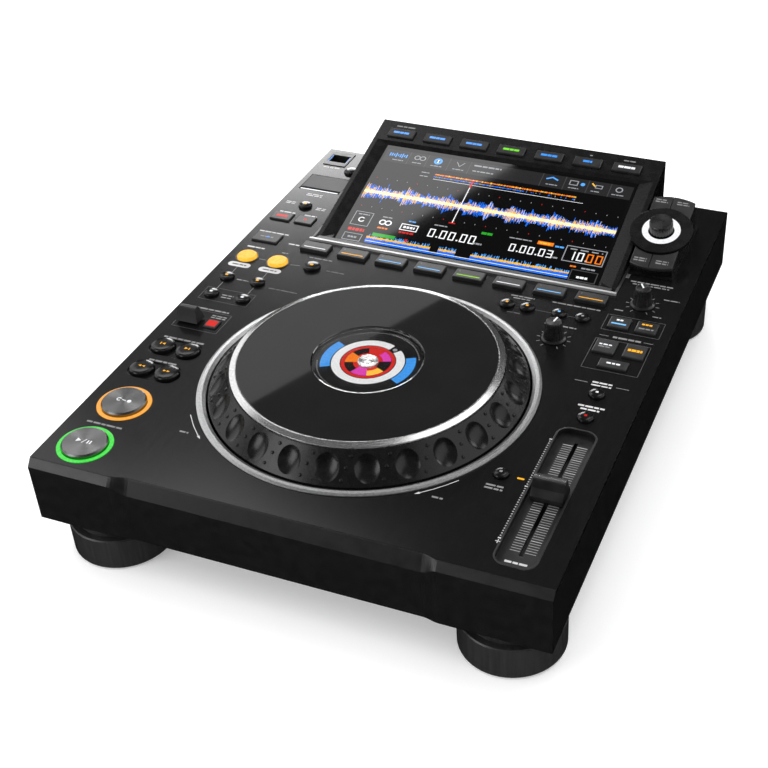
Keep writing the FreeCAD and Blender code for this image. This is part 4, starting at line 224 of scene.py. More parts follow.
def bright_front(name, line):
    """Bright metal in front of a line across the panel, dull metal behind it."""
    made = finish(name, (0.035, 0.035, 0.035), (0.05, 0.05, 0.05), (0.3, 0.38), 0.5, cells=900,
                  stretch=(0.05, 1, 1), depth=0.001, edge=0.2)
    tree = made.node_tree
    shader = shader_of(made)
    dull = shader.inputs["Base Color"].links[0].from_socket
    bright = ramp(tree, noise(tree, 900, (0.05, 1, 1)), (0.5, 0.5, 0.5), (0.62, 0.62, 0.62))
    parts = tree.nodes.new("ShaderNodeSeparateXYZ")
    tree.links.new(position(tree), parts.inputs["Vector"])
    near = less_than(tree, parts.outputs["Y"], line * MM)
    tree.links.new(blend(tree, near, dull, bright), shader.inputs["Base Color"])
    return made


PLAIN = {
    "case_black": finish("case_black", (0.006, 0.006, 0.0062), (0.008, 0.008, 0.0083), (0.34, 0.42),
                         specular=0.5, depth=0.004, edge=0.5),
    "panel_black": finish("panel_black", (0.0038, 0.0038, 0.004), (0.0056, 0.0056, 0.0058), (0.15, 0.19),
                          specular=0.32, cells=2600, stretch=(1, 0.035, 1), depth=0.003, fine=3200, edge=0.25),
    "base_steel": finish("base_steel", (0.012, 0.012, 0.012), (0.02, 0.02, 0.02), (0.5, 0.6), depth=0.005),
    "foot_metal": finish("foot_metal", (0.026, 0.026, 0.026), (0.036, 0.036, 0.037), (0.28, 0.36), 0.2,
                         cells=500, stretch=(1, 1, 0.05), depth=0.002, edge=0.4, turned=0.5),
    "foot_rubber": finish("foot_rubber", (0.006, 0.006, 0.006), (0.012, 0.012, 0.012), (0.7, 0.8), depth=0.01),
    "screw_steel": finish("screw_steel", (0.2, 0.2, 0.2), (0.32, 0.32, 0.32), (0.25, 0.35), 1.0, turned=0.6),
    "housing_black": finish("housing_black", (0.004, 0.004, 0.004), (0.006, 0.006, 0.0063), (0.24, 0.3),
                            specular=0.2, depth=0.002, edge=0.35),
    "bright_frame": bright_front("bright_frame", FRAME_FRONT),
    "touch_glass": finish("touch_glass", (0.0012, 0.0012, 0.0013), (0.002, 0.002, 0.0022), (0.03, 0.05),
                          specular=0.5, cells=40),
    "lcd_black": finish("lcd_black", (0.01, 0.01, 0.01), (0.02, 0.02, 0.02), (0.4, 0.5)),
    "bezel_metal": finish("bezel_metal", (0.46, 0.46, 0.465), (0.58, 0.58, 0.585), (0.3, 0.38), 0.9,
                          cells=700, depth=0.001, edge=0.3, turned=0.6),
    "cast_metal": finish("cast_metal", (0.02, 0.02, 0.02), (0.035, 0.035, 0.035), (0.5, 0.6), 0.6, depth=0.01),
    "bearing_steel": finish("bearing_steel", (0.4, 0.4, 0.41), (0.55, 0.55, 0.56), (0.2, 0.3), 1.0, turned=0.6),
    "jog_lens": finish("jog_lens", (0.002, 0.002, 0.002), (0.0035, 0.0035, 0.0035), (0.05, 0.08), cells=60),
    "board_green": finish("board_green", (0.005, 0.05, 0.02), (0.01, 0.09, 0.03), (0.35, 0.5), depth=0.01),
    "rear_metal": finish("rear_metal", (0.012, 0.012, 0.012), (0.018, 0.018, 0.018), (0.4, 0.5), depth=0.003,
                         edge=0.2),
    "socket_metal": finish("socket_metal", (0.45, 0.44, 0.42), (0.62, 0.61, 0.58), (0.2, 0.32), 1.0,
                           depth=0.002, edge=0.2),
    "inlet_plastic": finish("inlet_plastic", (0.008, 0.008, 0.008), (0.014, 0.014, 0.014), (0.35, 0.45),
                            depth=0.003, edge=0.3),
    "tray_black": finish("tray_black", (0.006, 0.006, 0.006), (0.01, 0.01, 0.01), (0.36, 0.46), specular=0.4,
                         depth=0.003, edge=0.4),
    "control_steel": finish("control_steel", (0.3, 0.3, 0.3), (0.42, 0.42, 0.42), (0.3, 0.4), 1.0),
    "light_guide": lit_guides("light_guide"),
    "usb_black": finish("usb_black", (0.008, 0.008, 0.008), (0.014, 0.014, 0.014), (0.3, 0.4), edge=0.2),
    "sd_black": finish("sd_black", (0.008, 0.008, 0.008), (0.012, 0.012, 0.012), (0.35, 0.45), edge=0.2),
    "rim_rubber": finish("rim_rubber", (0.004, 0.004, 0.004), (0.0055, 0.0055, 0.0055), (0.24, 0.3),
                         specular=0.4, cells=300, depth=0.002, edge=0.3),
    "trim_bright": finish("trim_bright", (0.62, 0.62, 0.62), (0.76, 0.76, 0.76), (0.14, 0.22), 0.95,
                          cells=900, depth=0.001, edge=0.25, turned=0.5),
    "plate_gloss": finish("plate_gloss", (0.004, 0.004, 0.004), (0.0055, 0.0055, 0.0055), (0.02, 0.035),
                          specular=1.0, cells=40, edge=0.3, coat=1.0),
    "fader_grip": finish("fader_grip", (0.008, 0.008, 0.008), (0.013, 0.013, 0.013), (0.3, 0.4),
                         depth=0.003, edge=0.5),
    "shaft_metal": finish("shaft_metal", (0.4, 0.4, 0.4), (0.5, 0.5, 0.5), (0.25, 0.35), 1.0, turned=0.6),
    "knob_black": finish("knob_black", (0.007, 0.007, 0.007), (0.012, 0.012, 0.012), (0.22, 0.32),
                         depth=0.002, edge=0.2, turned=0.5),
    "lever_black": finish("lever_black", (0.006, 0.006, 0.006), (0.01, 0.01, 0.01), (0.35, 0.45),
                          cells=900, depth=0.02, fine=1200, edge=0.4),
    "lid_black": finish("lid_black", (0.04, 0.04, 0.042), (0.05, 0.05, 0.052), (0.42, 0.5), specular=0.2,
                        depth=0.003, edge=0.2),
    "power_black": finish("power_black", (0.008, 0.008, 0.008), (0.013, 0.013, 0.013), (0.3, 0.4), edge=0.3),
    "button_metal": finish("button_metal", (0.17, 0.17, 0.17), (0.19, 0.19, 0.19), (0.24, 0.26), 1.0,
                           edge=0.3, turned=0.85),
    "button_black": finish("button_black", (0.004, 0.004, 0.004), (0.006, 0.006, 0.006), (0.12, 0.18),
                           specular=0.4, edge=0.6),
    "lit_button": glow("lit_button", (1.0, 0.5, 0.03), 1.0, cells=450, dim=0.75, rough=0.2),
    "key_grey": finish("key_grey", (0.016, 0.016, 0.0165), (0.023, 0.023, 0.024), (0.28, 0.36), specular=0.3,
                       depth=0.002, edge=0.3),
}

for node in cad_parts.values():
    for place in node.material_slots:
        name = place.material.name.split(".")[0]
        if name in PLAIN:
            place.material = PLAIN[name]

INKS = {
    "white": finish("print_white", (0.5, 0.5, 0.5), (0.62, 0.62, 0.62), (0.5, 0.6)),
    "grey": finish("print_grey", (0.17, 0.17, 0.17), (0.22, 0.22, 0.22), (0.5, 0.6)),
    "light": finish("print_light", (0.28, 0.28, 0.28), (0.34, 0.34, 0.34), (0.5, 0.6)),
    "faint": finish("print_faint", (0.04, 0.04, 0.04), (0.055, 0.055, 0.055), (0.5, 0.6)),
    "black": finish("print_black", (0.002, 0.002, 0.002), (0.004, 0.004, 0.004), (0.4, 0.5)),
    "lit_white": glow("lit_white", (0.85, 0.87, 0.9)),
    "lit_amber": glow("lit_amber", (1.0, 0.46, 0.02)),
    "lit_red": glow("lit_red", (0.62, 0.012, 0.008)),
    "lit_blue": glow("lit_blue", (0.05, 0.3, 0.95)),
    "lit_green": glow("lit_green", (0.16, 0.7, 0.015)),
    "lit_lime": glow("lit_lime", (0.32, 0.75, 0.01)),
    "lit_sky": glow("lit_sky", (0.2, 0.55, 1.0)),
    "screen_black": glow("screen_black", (0.0012, 0.0012, 0.0014), rough=0.05),
    "screen_cell": glow("screen_cell", (0.018, 0.018, 0.019), rough=0.05),
    "screen_edge": glow("screen_edge", (0.06, 0.06, 0.064), rough=0.05),
    "screen_white": glow("screen_white", (0.92, 0.93, 0.95), rough=0.05),
    "screen_grey": glow("screen_grey", (0.3, 0.31, 0.33), rough=0.05),
    "screen_blue": glow("screen_blue", (0.01, 0.16, 0.85), rough=0.05),
    "screen_sky": glow("screen_sky", (0.09, 0.38, 0.95), rough=0.05),
    "screen_yellow": glow("screen_yellow", (1.0, 0.52, 0.05), rough=0.05),
    "screen_cream": glow("screen_cream", (1.0, 0.85, 0.5), rough=0.05),
    "screen_orange": glow("screen_orange", (0.9, 0.2, 0.01), rough=0.05),
    "screen_red": glow("screen_red", (0.6, 0.015, 0.01), rough=0.05),
    "screen_green": glow("screen_green", (0.02, 0.36, 0.02), rough=0.05),
    "jog_white": glow("jog_white", (0.78, 0.78, 0.78), rough=0.05),
    "jog_blue": glow("jog_blue", (0.045, 0.31, 0.82), rough=0.05),
    "screen_pink": glow("screen_pink", (0.68, 0.05, 0.42), rough=0.05),
}


# Surfaces that carry marks: each turns flat millimetres and a lift off the surface into a place
def on_panel(x, y, lift=0.0):
    return Vector((x * MM, y * MM, PANEL + lift * MM))


def leaned(x, y, high, tilt):
    """A slope through a place on the panel, leaned back about X."""
    turn = Matrix.Rotation(tilt, 3, "X")
    origin = on_panel(x, y, high)
    return lambda u, v, lift=0.0: origin + turn @ Vector((u * MM, v * MM, lift * MM))


on_display = leaned(0, DISPLAY_FRONT, 0, DISPLAY_TILT)
on_pod = leaned(POD_X, POD_Y, POD_HIGH, POD_TILT)


def on_glass(u, v, lift=0.0):
    return on_display(u, v, lift - GLASS_DEEP)


def on_lens(u, v, lift=0.0):
    return on_panel(JOG_X + u, JOG_Y + v, LENS_HIGH + lift)


def on_tray(x, y, lift=0.0):
    return on_panel(x, y, lift - TRAY_DEEP)


def on_top(node):
    """The flat top of a node, with its middle at zero."""
    low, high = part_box(node)
    centre = middle(node)
    return lambda u, v, lift=0.0: Vector((centre.x + u * MM, centre.y + v * MM, high.z + lift * MM))


def piece(name, body, points, faces, material, smooth=False):
    mesh = bpy.data.meshes.new(name)
    mesh.from_pydata([tuple(point) for point in points], [], faces)
    mesh.update()
    made = bpy.data.objects.new(name, mesh)
    bpy.context.scene.collection.objects.link(made)
    for item in material if isinstance(material, list) else [material]:
        mesh.materials.append(item)
    if smooth:
        mesh.shade_smooth()
    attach(made, body)
    return made


class Print:
    """Flat marks on one surface, kept as one mesh with a material for each ink."""

    def __init__(self, name, body, surface):
        self.name = name
        self.body = body
        self.surface = surface
        self.marks = []

    def shape(self, ink, points, lift=SHEET_LIFT):
        self.marks.append((ink, [self.surface(u, v, lift) for u, v in points]))

    def bar(self, ink, u, v, width, tall, lift=SHEET_LIFT):
        half, rise = width / 2, tall / 2
        self.shape(ink, [(u - half, v - rise), (u + half, v - rise), (u + half, v + rise), (u - half, v + rise)],
                   lift)

    def line(self, ink, points, width, lift=SHEET_LIFT):
        for (u0, v0), (u1, v1) in zip(points, points[1:]):
            run = math.hypot(u1 - u0, v1 - v0)
            du, dv = (u1 - u0) / run * width / 2, (v1 - v0) / run * width / 2
            self.shape(ink, [(u0 - du + dv, v0 - dv - du), (u1 + du + dv, v1 + dv - du),
                             (u1 + du - dv, v1 + dv + du), (u0 - du - dv, v0 - dv + du)], lift)

    def outline(self, ink, left, right, low, high, width, lift=SHEET_LIFT):
        self.line(ink, [(left, low), (right, low), (right, high), (left, high), (left, low)], width, lift)

    def arc(self, ink, u, v, inner, outer, start=0.0, end=360.0, lift=SHEET_LIFT):
        steps = max(2, round(abs(end - start) / 5))
        for i in range(steps):
            a, b = (math.radians(start + (end - start) * k / steps) for k in (i, i + 1))
            self.shape(ink, [(u + outer * math.cos(a), v + outer * math.sin(a)),
                             (u + outer * math.cos(b), v + outer * math.sin(b)),
                             (u + inner * math.cos(b), v + inner * math.sin(b)),
                             (u + inner * math.cos(a), v + inner * math.sin(a))], lift)

    def disc(self, ink, u, v, radius, lift=SHEET_LIFT):
        self.shape(ink, [(u + radius * math.cos(k * math.pi / 12), v + radius * math.sin(k * math.pi / 12))
                         for k in range(24)], lift)

    def words(self, ink, u, v, width, tall=1.2, pattern=(5, 3, 6, 4), gap=0.7, lift=SHEET_LIFT):
        """A label as a row of short bars."""
        left, i = u - width / 2, len(self.marks)
        while left < u + width / 2 - 0.6:
            right = min(left + pattern[i % len(pattern)], u + width / 2)
            self.bar(ink, (left + right) / 2, v, right - left, tall, lift)
            left = right + gap
            i += 1

    def digits(self, ink, text, u, v, tall, lift=SHEET_LIFT):
        """Seven-bar figures. The first one's lower left corner is at u, v."""
        bars = {"0": "abcdef", "1": "bc", "2": "abged", "3": "abgcd", "4": "fgbc", "5": "afgcd", "6": "afgedc",
                "7": "abc", "8": "abcdefg", "9": "abcdfg", "-": "g"}
        wide, thick = tall * 0.5, tall * 0.13
        ends = {"a": ((0, 2), (1, 2)), "b": ((1, 1), (1, 2)), "c": ((1, 0), (1, 1)), "d": ((0, 0), (1, 0)),
                "e": ((0, 0), (0, 1)), "f": ((0, 1), (0, 2)), "g": ((0, 1), (1, 1))}
        for figure in text:
            if figure in ".:":
                self.bar(ink, u, v + thick / 2, thick * 1.4, thick * 1.4, lift)
                u += thick * 2.4
                continue
            for bar in bars[figure]:
                self.line(ink, [(u + a * wide, v + b * tall / 2) for a, b in ends[bar]], thick, lift)
            u += wide + thick * 3.2

    def done(self):
        names = sorted({ink for ink, _ in self.marks})
        points, faces, inks = [], [], []
        for ink, corners in self.marks:
            faces.append(list(range(len(points), len(points) + len(corners))))
            points += corners
            inks.append(names.index(ink))
        made = piece(self.name, self.body, points, faces, [INKS[name] for name in names])
        made.data.polygons.foreach_set("material_index", inks)
        return made


def lathe(name, body, material, profile, surface, steps=64, u=0.0, v=0.0):
    """A turned piece from pairs of radius and height above a surface."""
    points, faces = [], []
    for k in range(steps):
        a = 2 * math.pi * k / steps
        points += [surface(u + r * math.cos(a), v + r * math.sin(a), h) for r, h in profile]
    count = len(profile)
    for k in range(steps):
        here, there = k * count, (k + 1) % steps * count
        for i in range(count - 1):
            faces.append([here + i, there + i, there + i + 1, here + i + 1])
    return piece(name, body, points, faces, material, smooth=True)


# Screen
def screen():
    rng = random.Random(9)
    face = Print("screen_picture", "root", on_glass)
    face.bar("screen_black", 0, 54, 198, 104, 0.02)
    face.bar("screen_cell", 0, 97, 198, 14)
    for edge in (-79, -64, -46, -29, 29, 47, 65, 82):
        face.bar("screen_edge", edge, 97, 0.5, 14, SCREEN_LIFT)
    for k in range(9):
        face.bar("screen_sky", -95 + k * 1.7, 98.5, 0.9, 2 + 3.4 * rng.random(), SCREEN_LIFT)
    face.arc("screen_grey", -72.5, 99, 1.7, 2.5, lift=SCREEN_LIFT)
    face.arc("screen_grey", -68, 99, 1.7, 2.5, lift=SCREEN_LIFT)
    face.arc("screen_sky", -55, 98.6, 1.6, 3.4, lift=SCREEN_LIFT)
    face.bar("screen_white", -55, 98.6, 1.1, 3.2, 0.08)
    face.line("screen_grey", [(-40, 101), (-37, 96.5), (-34, 101)], 0.6, SCREEN_LIFT)
    face.words("screen_grey", -15, 100.5, 22, 1.6, lift=SCREEN_LIFT)
    face.words("screen_grey", -17, 94.5, 17, 1.2, (3, 2, 4), lift=SCREEN_LIFT)
    for u, v, w in ((-87, 93.2, 9), (-71, 93.2, 8), (-55, 93.2, 9), (-37, 93.2, 9), (38, 93.2, 9),
                    (55, 93.2, 8), (72, 93.2, 7), (89, 93.2, 9)):
        face.words("screen_grey", u, v, w, 0.9, (3, 2, 4), 0.5, SCREEN_LIFT)
    face.line("screen_sky", [(33, 99), (37, 101), (41, 99)], 1.3, SCREEN_LIFT)
    face.outline("screen_grey", 51, 57, 96.6, 101, 0.8, SCREEN_LIFT)
    face.disc("screen_sky", 61, 98.5, 1.7, SCREEN_LIFT)
    face.line("screen_yellow", [(68, 101), (70, 99)], 1.2, SCREEN_LIFT)
    face.outline("screen_grey", 71, 76, 97, 100, 0.7, SCREEN_LIFT)
    face.arc("screen_grey", 89, 98.8, 1.9, 2.8, lift=SCREEN_LIFT)
    overview(face, rng)
    waveform(face, rng)
    readings(face)
    timeline(face, rng)
    return face.done()


def overview(face, rng):
    for k in range(150):
        u = -52 + k * 0.75
        face.bar("screen_orange" if rng.random() < 0.75 else "screen_yellow", u, 84.2, 0.7,
                 0.6 + 1.3 * rng.random(), SCREEN_LIFT)
        if u < 20 or rng.random() < 0.2:
            face.bar("screen_blue" if rng.random() < 0.7 else "screen_grey", u, 81.6, 0.6,
                     0.5 + 1.2 * rng.random(), SCREEN_LIFT)
    face.bar("screen_white", 7.5, 79, 119, 0.35, SCREEN_LIFT)
    face.words("screen_grey", -60, 84.5, 7, 0.9, (4, 2), 0.5, SCREEN_LIFT)
    face.words("screen_grey", -60, 80.5, 7, 0.9, (3, 3), 0.5, SCREEN_LIFT)


WAVE_MIDDLE = 55.5


def waveform(face, rng):
    pitch, columns = 0.5, 396
    for k in range(columns):
        u = -99 + k * pitch
        beat = (k % 33) / 33
        swell = 0.55 + 0.45 * math.exp(-7 * beat) + 0.15 * math.sin(k * 0.11)
        blue = (5.6 + 6.0 * rng.random()) * swell
        yellow = (3.6 + 7.0 * rng.random() ** 1.6) * swell
        face.bar("screen_blue", u, WAVE_MIDDLE, pitch * 0.86, 2 * blue, 0.06)
        if rng.random() < 0.55 + 0.45 * math.exp(-4 * beat):
            face.bar("screen_yellow", u, WAVE_MIDDLE + 0.3 * rng.random(), pitch * 0.8, 1.9 * yellow, 0.08)
        if rng.random() < 0.12:
            face.bar("screen_white", u, WAVE_MIDDLE, pitch * 0.4, 2.1 * blue, 0.09)
        face.bar("screen_cream", u, WAVE_MIDDLE, pitch, 2.0 + 2.6 * rng.random(), 0.1)
    for k in range(24):
        u = -95 + k * 8.3
        face.bar("screen_red" if k % 4 == 0 else "screen_grey", u, 71, 0.5, 1.0, SCREEN_LIFT)
        face.bar("screen_red" if k % 4 == 0 else "screen_grey", u, 39.5, 0.5, 1.0, SCREEN_LIFT)
    face.bar("screen_white", -21, 61, 0.7, 47, 0.12)
    face.bar("screen_red", -21, 80, 1.4, 8, 0.13)
    face.bar("screen_red", -21, 37, 5, 1.2, 0.13)


def readings(face):
    for low, high in ((19, 33), (3, 10)):
        face.outline("screen_grey", -96, -82, low, high, 0.6, SCREEN_LIFT)
    face.words("screen_grey", -89, 30.6, 9, 1.1, (4, 3), 0.5, SCREEN_LIFT)
    face.arc("screen_white", -89, 25.2, 1.7, 2.6, 40, 340, lift=SCREEN_LIFT)
    face.words("screen_red", -89, 14.3, 13, 3.0, (3, 2), 0.5, SCREEN_LIFT)
    face.words("screen_grey", -89, 6.4, 7, 1.8, (2, 2), 0.5, SCREEN_LIFT)
    for u in (-72.2, -67.6):
        face.arc("screen_white", u, 26, 1.7, 2.7, lift=SCREEN_LIFT)
    face.words("screen_grey", -70, 31.5, 8, 1.1, (4, 3), 0.5, SCREEN_LIFT)
    face.words("screen_orange", -70, 20, 8, 1.6, (3, 2), 0.5, SCREEN_LIFT)
    face.outline("screen_white", -57, -44, 22, 28, 0.8, SCREEN_LIFT)
    face.words("screen_white", -50.5, 25, 9, 2.2, (2, 2), 0.6, SCREEN_LIFT)
    face.words("screen_sky", -50, 31.5, 6, 1.2, (3, 2), 0.5, SCREEN_LIFT)
    face.words("screen_red", -50.5, 19.3, 12, 1.8, (3, 2), 0.5, SCREEN_LIFT)
    face.words("screen_grey", -28, 32.5, 10, 1.1, (4, 3), 0.5, SCREEN_LIFT)
    face.digits("screen_white", "0.00.00", -34, 20.3, 7.4, SCREEN_LIFT)
    face.words("screen_grey", 4.5, 21, 7, 1.6, (2, 3), 0.5, SCREEN_LIFT)
    face.words("screen_green", 8.5, 32.5, 9, 2.4, (4, 4), 0.4, SCREEN_LIFT)
    face.words("screen_grey", 34, 33, 17, 1.0, (5, 4), 0.5, SCREEN_LIFT)
    face.digits("screen_white", "0.00.03", 29, 20.3, 6.6, SCREEN_LIFT)
    face.words("screen_grey", 63, 21, 6, 1.5, (2, 3), 0.5, SCREEN_LIFT)
    face.bar("screen_orange", 53, 33, 12, 3.4, SCREEN_LIFT)
    face.words("screen_yellow", 53, 33, 9, 1.3, (3, 2), 0.5, 0.09)
    face.words("screen_sky", 64, 32, 7, 1.6, (3, 3), 0.5, SCREEN_LIFT)
    face.outline("screen_grey", 69, 98.5, 20, 35, 0.7, SCREEN_LIFT)
    face.words("screen_grey", 84, 32.4, 24, 1.1, (5, 6), 2.4, SCREEN_LIFT)
    face.digits("screen_white", "10.", 72.5, 22.2, 7.4, SCREEN_LIFT)
    face.digits("screen_orange", "00", 86.2, 22.2, 7.4, SCREEN_LIFT)
    face.outline("screen_edge", 79, 98, 3, 13, 0.7, SCREEN_LIFT)
    face.words("screen_white", 88.5, 6.5, 9, 1.9, (3, 2), 0.5, SCREEN_LIFT)
    face.words("screen_orange", 79, 16, 5, 1.4, (2, 2), 0.4, SCREEN_LIFT)
    face.words("screen_grey", 90, 15.5, 10, 1.3, (3, 3), 0.5, SCREEN_LIFT)


def timeline(face, rng):
    for k in range(312):
        u = -78 + k * 0.5
        if -8 < u < 4 or -28 < u < -21:
            continue
        fade = 1 if u < 60 else max(0.15, (78 - u) / 18)
        face.bar("screen_blue", u, 6.5, 0.45, 3.2, SCREEN_LIFT)
        face.bar("screen_yellow", u, 8.9, 0.45, 1.0 + 1.8 * rng.random() * fade, 0.08)
        if rng.random() < 0.4:
            face.bar("screen_sky", u, 10, 0.45, 2 + 4 * rng.random() * fade, SCREEN_LIFT)
    face.bar("screen_white", 0, 5.2, 156, 0.5, 0.09)
    face.bar("screen_blue", 0, 3.9, 156, 1.2, 0.09)
    face.bar("screen_green", -66, 12.5, 18, 3.4, 0.1)
    face.bar("screen_red", -48, 12, 2.2, 2.6, 0.1)


# Round display in the wheel: rings about a turned hub
def jog_picture():
    face = Print("jog_picture", "root", on_lens)
    slices = ["screen_pink", "screen_red", "screen_black", "screen_orange", "screen_black", "screen_pink",
              "screen_yellow", "screen_black"]
    turn = 360 / len(slices)
    for k, ink in enumerate(slices):
        inner = 7 if k % 2 else 9.4
        face.arc(ink, 0, 0, inner, 14.6, 20 + k * turn, 20 + (k + 1) * turn)
        face.arc("screen_red", 0, 0, 6.4, inner, 20 + k * turn, 20 + (k + 1) * turn)
    face.arc("screen_red", 0, 0, 14.8, 17.2)
    face.arc("jog_white", 0, 0, 17.8, 23.2, 66, 410)
    face.disc("screen_grey", 20.5 * math.cos(math.radians(57)), 20.5 * math.sin(math.radians(57)), 1.5)
    for start in (152, 330):
        for k in range(9):
            face.arc("jog_blue", 0, 0, 23.9, 30.2, start + k * 6.4, start + k * 6.4 + 6.2)
    for first, last in ((196, 292), (22, 84)):
        for k in range(first, last, 4):
            face.arc("grey", 0, 0, 31.7, 32.5, k, k + 2.4)
    return face.done()


def jog_hub():
    profile = [(6.7, 0.05), (6.7, 0.9), (6.3, 1.3), (5.2, 1.4), (4.6, 1.0), (2.0, 0.9), (1.6, 1.3), (0.0, 1.35)]
    return lathe("jog_hub", "root", PLAIN["trim_bright"], profile, on_lens, 48)


def clear_glass(name):
    """Clear plastic with the sheen of a polished top."""
    made, tree, shader = new_material(name)
    tree.links.new(ramp(tree, noise(tree, 60), (0.97, 0.97, 0.97), (1, 1, 1)), shader.inputs["Base Color"])
    shader.inputs["Transmission Weight"].default_value = 1.0
    shader.inputs["IOR"].default_value = 1.12
    shader.inputs["Roughness"].default_value = 0.0
    shader.inputs["Coat Weight"].default_value = 1.0
    shader.inputs["Coat Roughness"].default_value = 0.03
    return made


def jog_cover():
    """The clear cover over the round display, level with the top plate."""
    profile = [(0.0, 1.6), (35.2, 1.6), (35.2, 2.75), (35.05, 2.9), (0.0, 2.9)]
    cover = lathe("jog_cover", "root", clear_glass("clear_cover"), profile, on_lens, 96)
    cover.data.shade_flat()
    return cover


def jog_bumps():
    """Three small studs between each pair of finger dimples, on the sloping rim."""
    pitch = 360 / DIMPLES
    width, height = RIM_FOOT[0] - RIM_TOP[0], RIM_TOP[1] - RIM_FOOT[1]
    slope = math.atan2(height, width)
    points, faces = [], []
    rings = [(1.15, -0.2), (1.1, 0.35), (0.85, 0.6), (0.4, 0.7)]
    sides = 12
    for k in range(DIMPLES):
        for radius, shift in ((89.4, 1.5), (94.0, -0.2), (99.0, -1.7)):
            share = (RIM_FOOT[0] - radius) / width
            high = RIM_FOOT[1] + share * height
            angle = math.radians(FIRST_DIMPLE + pitch / 2 + k * pitch + shift)
            turn = Matrix.Rotation(angle, 3, "Z") @ Matrix.Rotation(slope, 3, "Y")
            centre = on_panel(JOG_X + radius * math.cos(angle), JOG_Y + radius * math.sin(angle), high)
            start = len(points)
            for wide, rise in rings:
                for i in range(sides):
                    a = 2 * math.pi * i / sides
                    points.append(centre + turn @ Vector((wide * math.cos(a), wide * math.sin(a), rise)) * MM)
            for r in range(len(rings) - 1):
                for i in range(sides):
                    a, b = start + r * sides + i, start + r * sides + (i + 1) % sides
                    faces.append([a, b, b + sides, a + sides])
            faces.append([start + (len(rings) - 1) * sides + i for i in range(sides)])
    return piece("jog_bumps", "jog", points, faces, PLAIN["rim_rubber"], True)


# Marks on the panel
def left_marks(face):
    face.words("white", -150, 179, 14, 1.4)
    for v in (134.5, 132.3):
        face.words("white", -143, v, 13, 1.2)
    for v in (119, 116.8):
        face.words("white", -155.5, v, 8, 1.1, (3, 4))
        face.words("white", -128, v - 3, 9, 1.1, (3, 4))
    face.words("white", -151, 103.3, 13, 1.5)
    face.words("white", -131.5, 103.3, 10, 1.5)
    face.words("white", -146.5, 72.3, 24, 1.4)
    face.words("white", -124, 61.5, 10, 1.3)
    face.words("white", -149.5, 49.3, 14, 1.6)
    face.words("grey", -125.5, 48.6, 5, 1.2)
    for left, right in ((-158.5, -141), (-134, -116.5)):
        rounded(face, "white", left, right, 21.1, 27.0, 2.9)
        face.words("black", (left + right) / 2, 24.05, 11, 1.3, lift=0.08)
    face.line("grey", [(-139.6, 35.6), (-134.6, 35.6)], 0.45)
    face.line("grey", [(-114.6, 35.6), (-107.8, 36.6)], 0.45)
    for x in (-149.6, -125.3):
        face.line("grey", [(x, 20.6), (x, 13.2)], 0.4)
        face.line("grey", [(x, -0.6), (x, -10.0)], 0.4)
    face.words("grey", -137.4, 6, 9, 1.1, (3, 4))
    face.words("faint", -104, 3, 22, 1.2)
    face.words("grey", -97, 49.5, 18, 1.1)
    face.words("faint", -79.5, 36.5, 14, 1.2)
    face.words("grey", -137.4, -15.2, 9, 1.2, (4, 3))
    face.words("grey", -137.4, -18.0, 8, 1.2, (3, 4))
    face.words("grey", -139, -34.5, 26, 1.5)
    face.words("grey", -130, -40.2, 11, 1.2, (4, 3))
    face.words("grey", -130, -42.4, 11, 1.2, (3, 4))
    face.words("grey", -139, -72.5, 30, 1.6)
    face.words("grey", -139, -98.8, 21, 1.6)
    face.words("grey", -139, -168.0, 25, 1.5)
    face.outline("faint", -156.5, -118.9, -23.9, -8.6, 0.4)
    face.outline("faint", -156.5, -122.4, -59.3, -37.0, 0.4)


def right_marks(face):
    face.words("grey", 57, 49.8, 17, 1.3)
    face.words("grey", 57, 47.2, 12, 1.2)
    face.words("faint", 57, 29.6, 9, 1.1)
    face.words("grey", 95, 50.6, 34, 1.3)
    face.line("faint", [(70.0, 37.4), (81.2, 37.4)], 0.4)
    face.line("faint", [(92.8, 37.4), (97.8, 37.4)], 0.4)
    face.words("grey", 92, 24.6, 22, 1.3)
    face.words("grey", 136.5, 93.5, 30, 1.5)
    face.words("grey", 136.5, 90.6, 26, 1.3)
    face.words("grey", 154.5, 77.5, 11, 1.1)
    face.words("grey", 123.5, 55.5, 6, 1.1)
    face.words("grey", 150, 55.0, 6, 1.1)
    face.words("grey", 138, 23.6, 19, 1.8)
    for u in (122.5, 152.5):
        face.line("grey", [(u - 3, 23.6), (u + 3, 23.6)], 0.4)
    face.outline("faint", 118.2, 155.4, -14.6, 19.6, 0.4)
    face.outline("faint", 118.2, 157.6, 30.4, 48.8, 0.4)
    face.words("white", 136.5, -27.8, 13, 1.5)
    face.words("white", 136.5, -30.8, 13, 1.3)
    for u in (123, 150):
        face.line("grey", [(u - 4, -29.3), (u + 4, -29.3)], 0.5)
    face.words("white", 136.8, -53.2, 17, 1.6)
    face.words("white", 136.8, -56.2, 12, 1.5)
    face.words("grey", 106, -141.8, 11, 1.4)
    face.words("grey", 106, -144.5, 11, 1.4)
    for k in range(45):
        long = k % 22 == 0
        face.bar("white" if long else "light", 123.1, -91 - k * 2.06, 1.7 if long else 0.9, 0.9)
    face.bar("white", 123.1, -184.4, 3.0, 0.5)
    face.bar("white", 123.1, -184.4, 0.5, 3.0)
    rounded(face, "lit_amber", 115.8, 120.2, -131.8, -130.4, 0.6)
    for x, y, radius in ((92.3, 9.0, 9.5), (137.0, 66.5, 9.5)):
        for k in range(11):
            a = math.radians(-60 + k * 30)
            face.line("grey", [(x + radius * math.cos(a), y + radius * math.sin(a)),
                               (x + (radius + 1.9) * math.cos(a), y + (radius + 1.9) * math.sin(a))], 0.5)


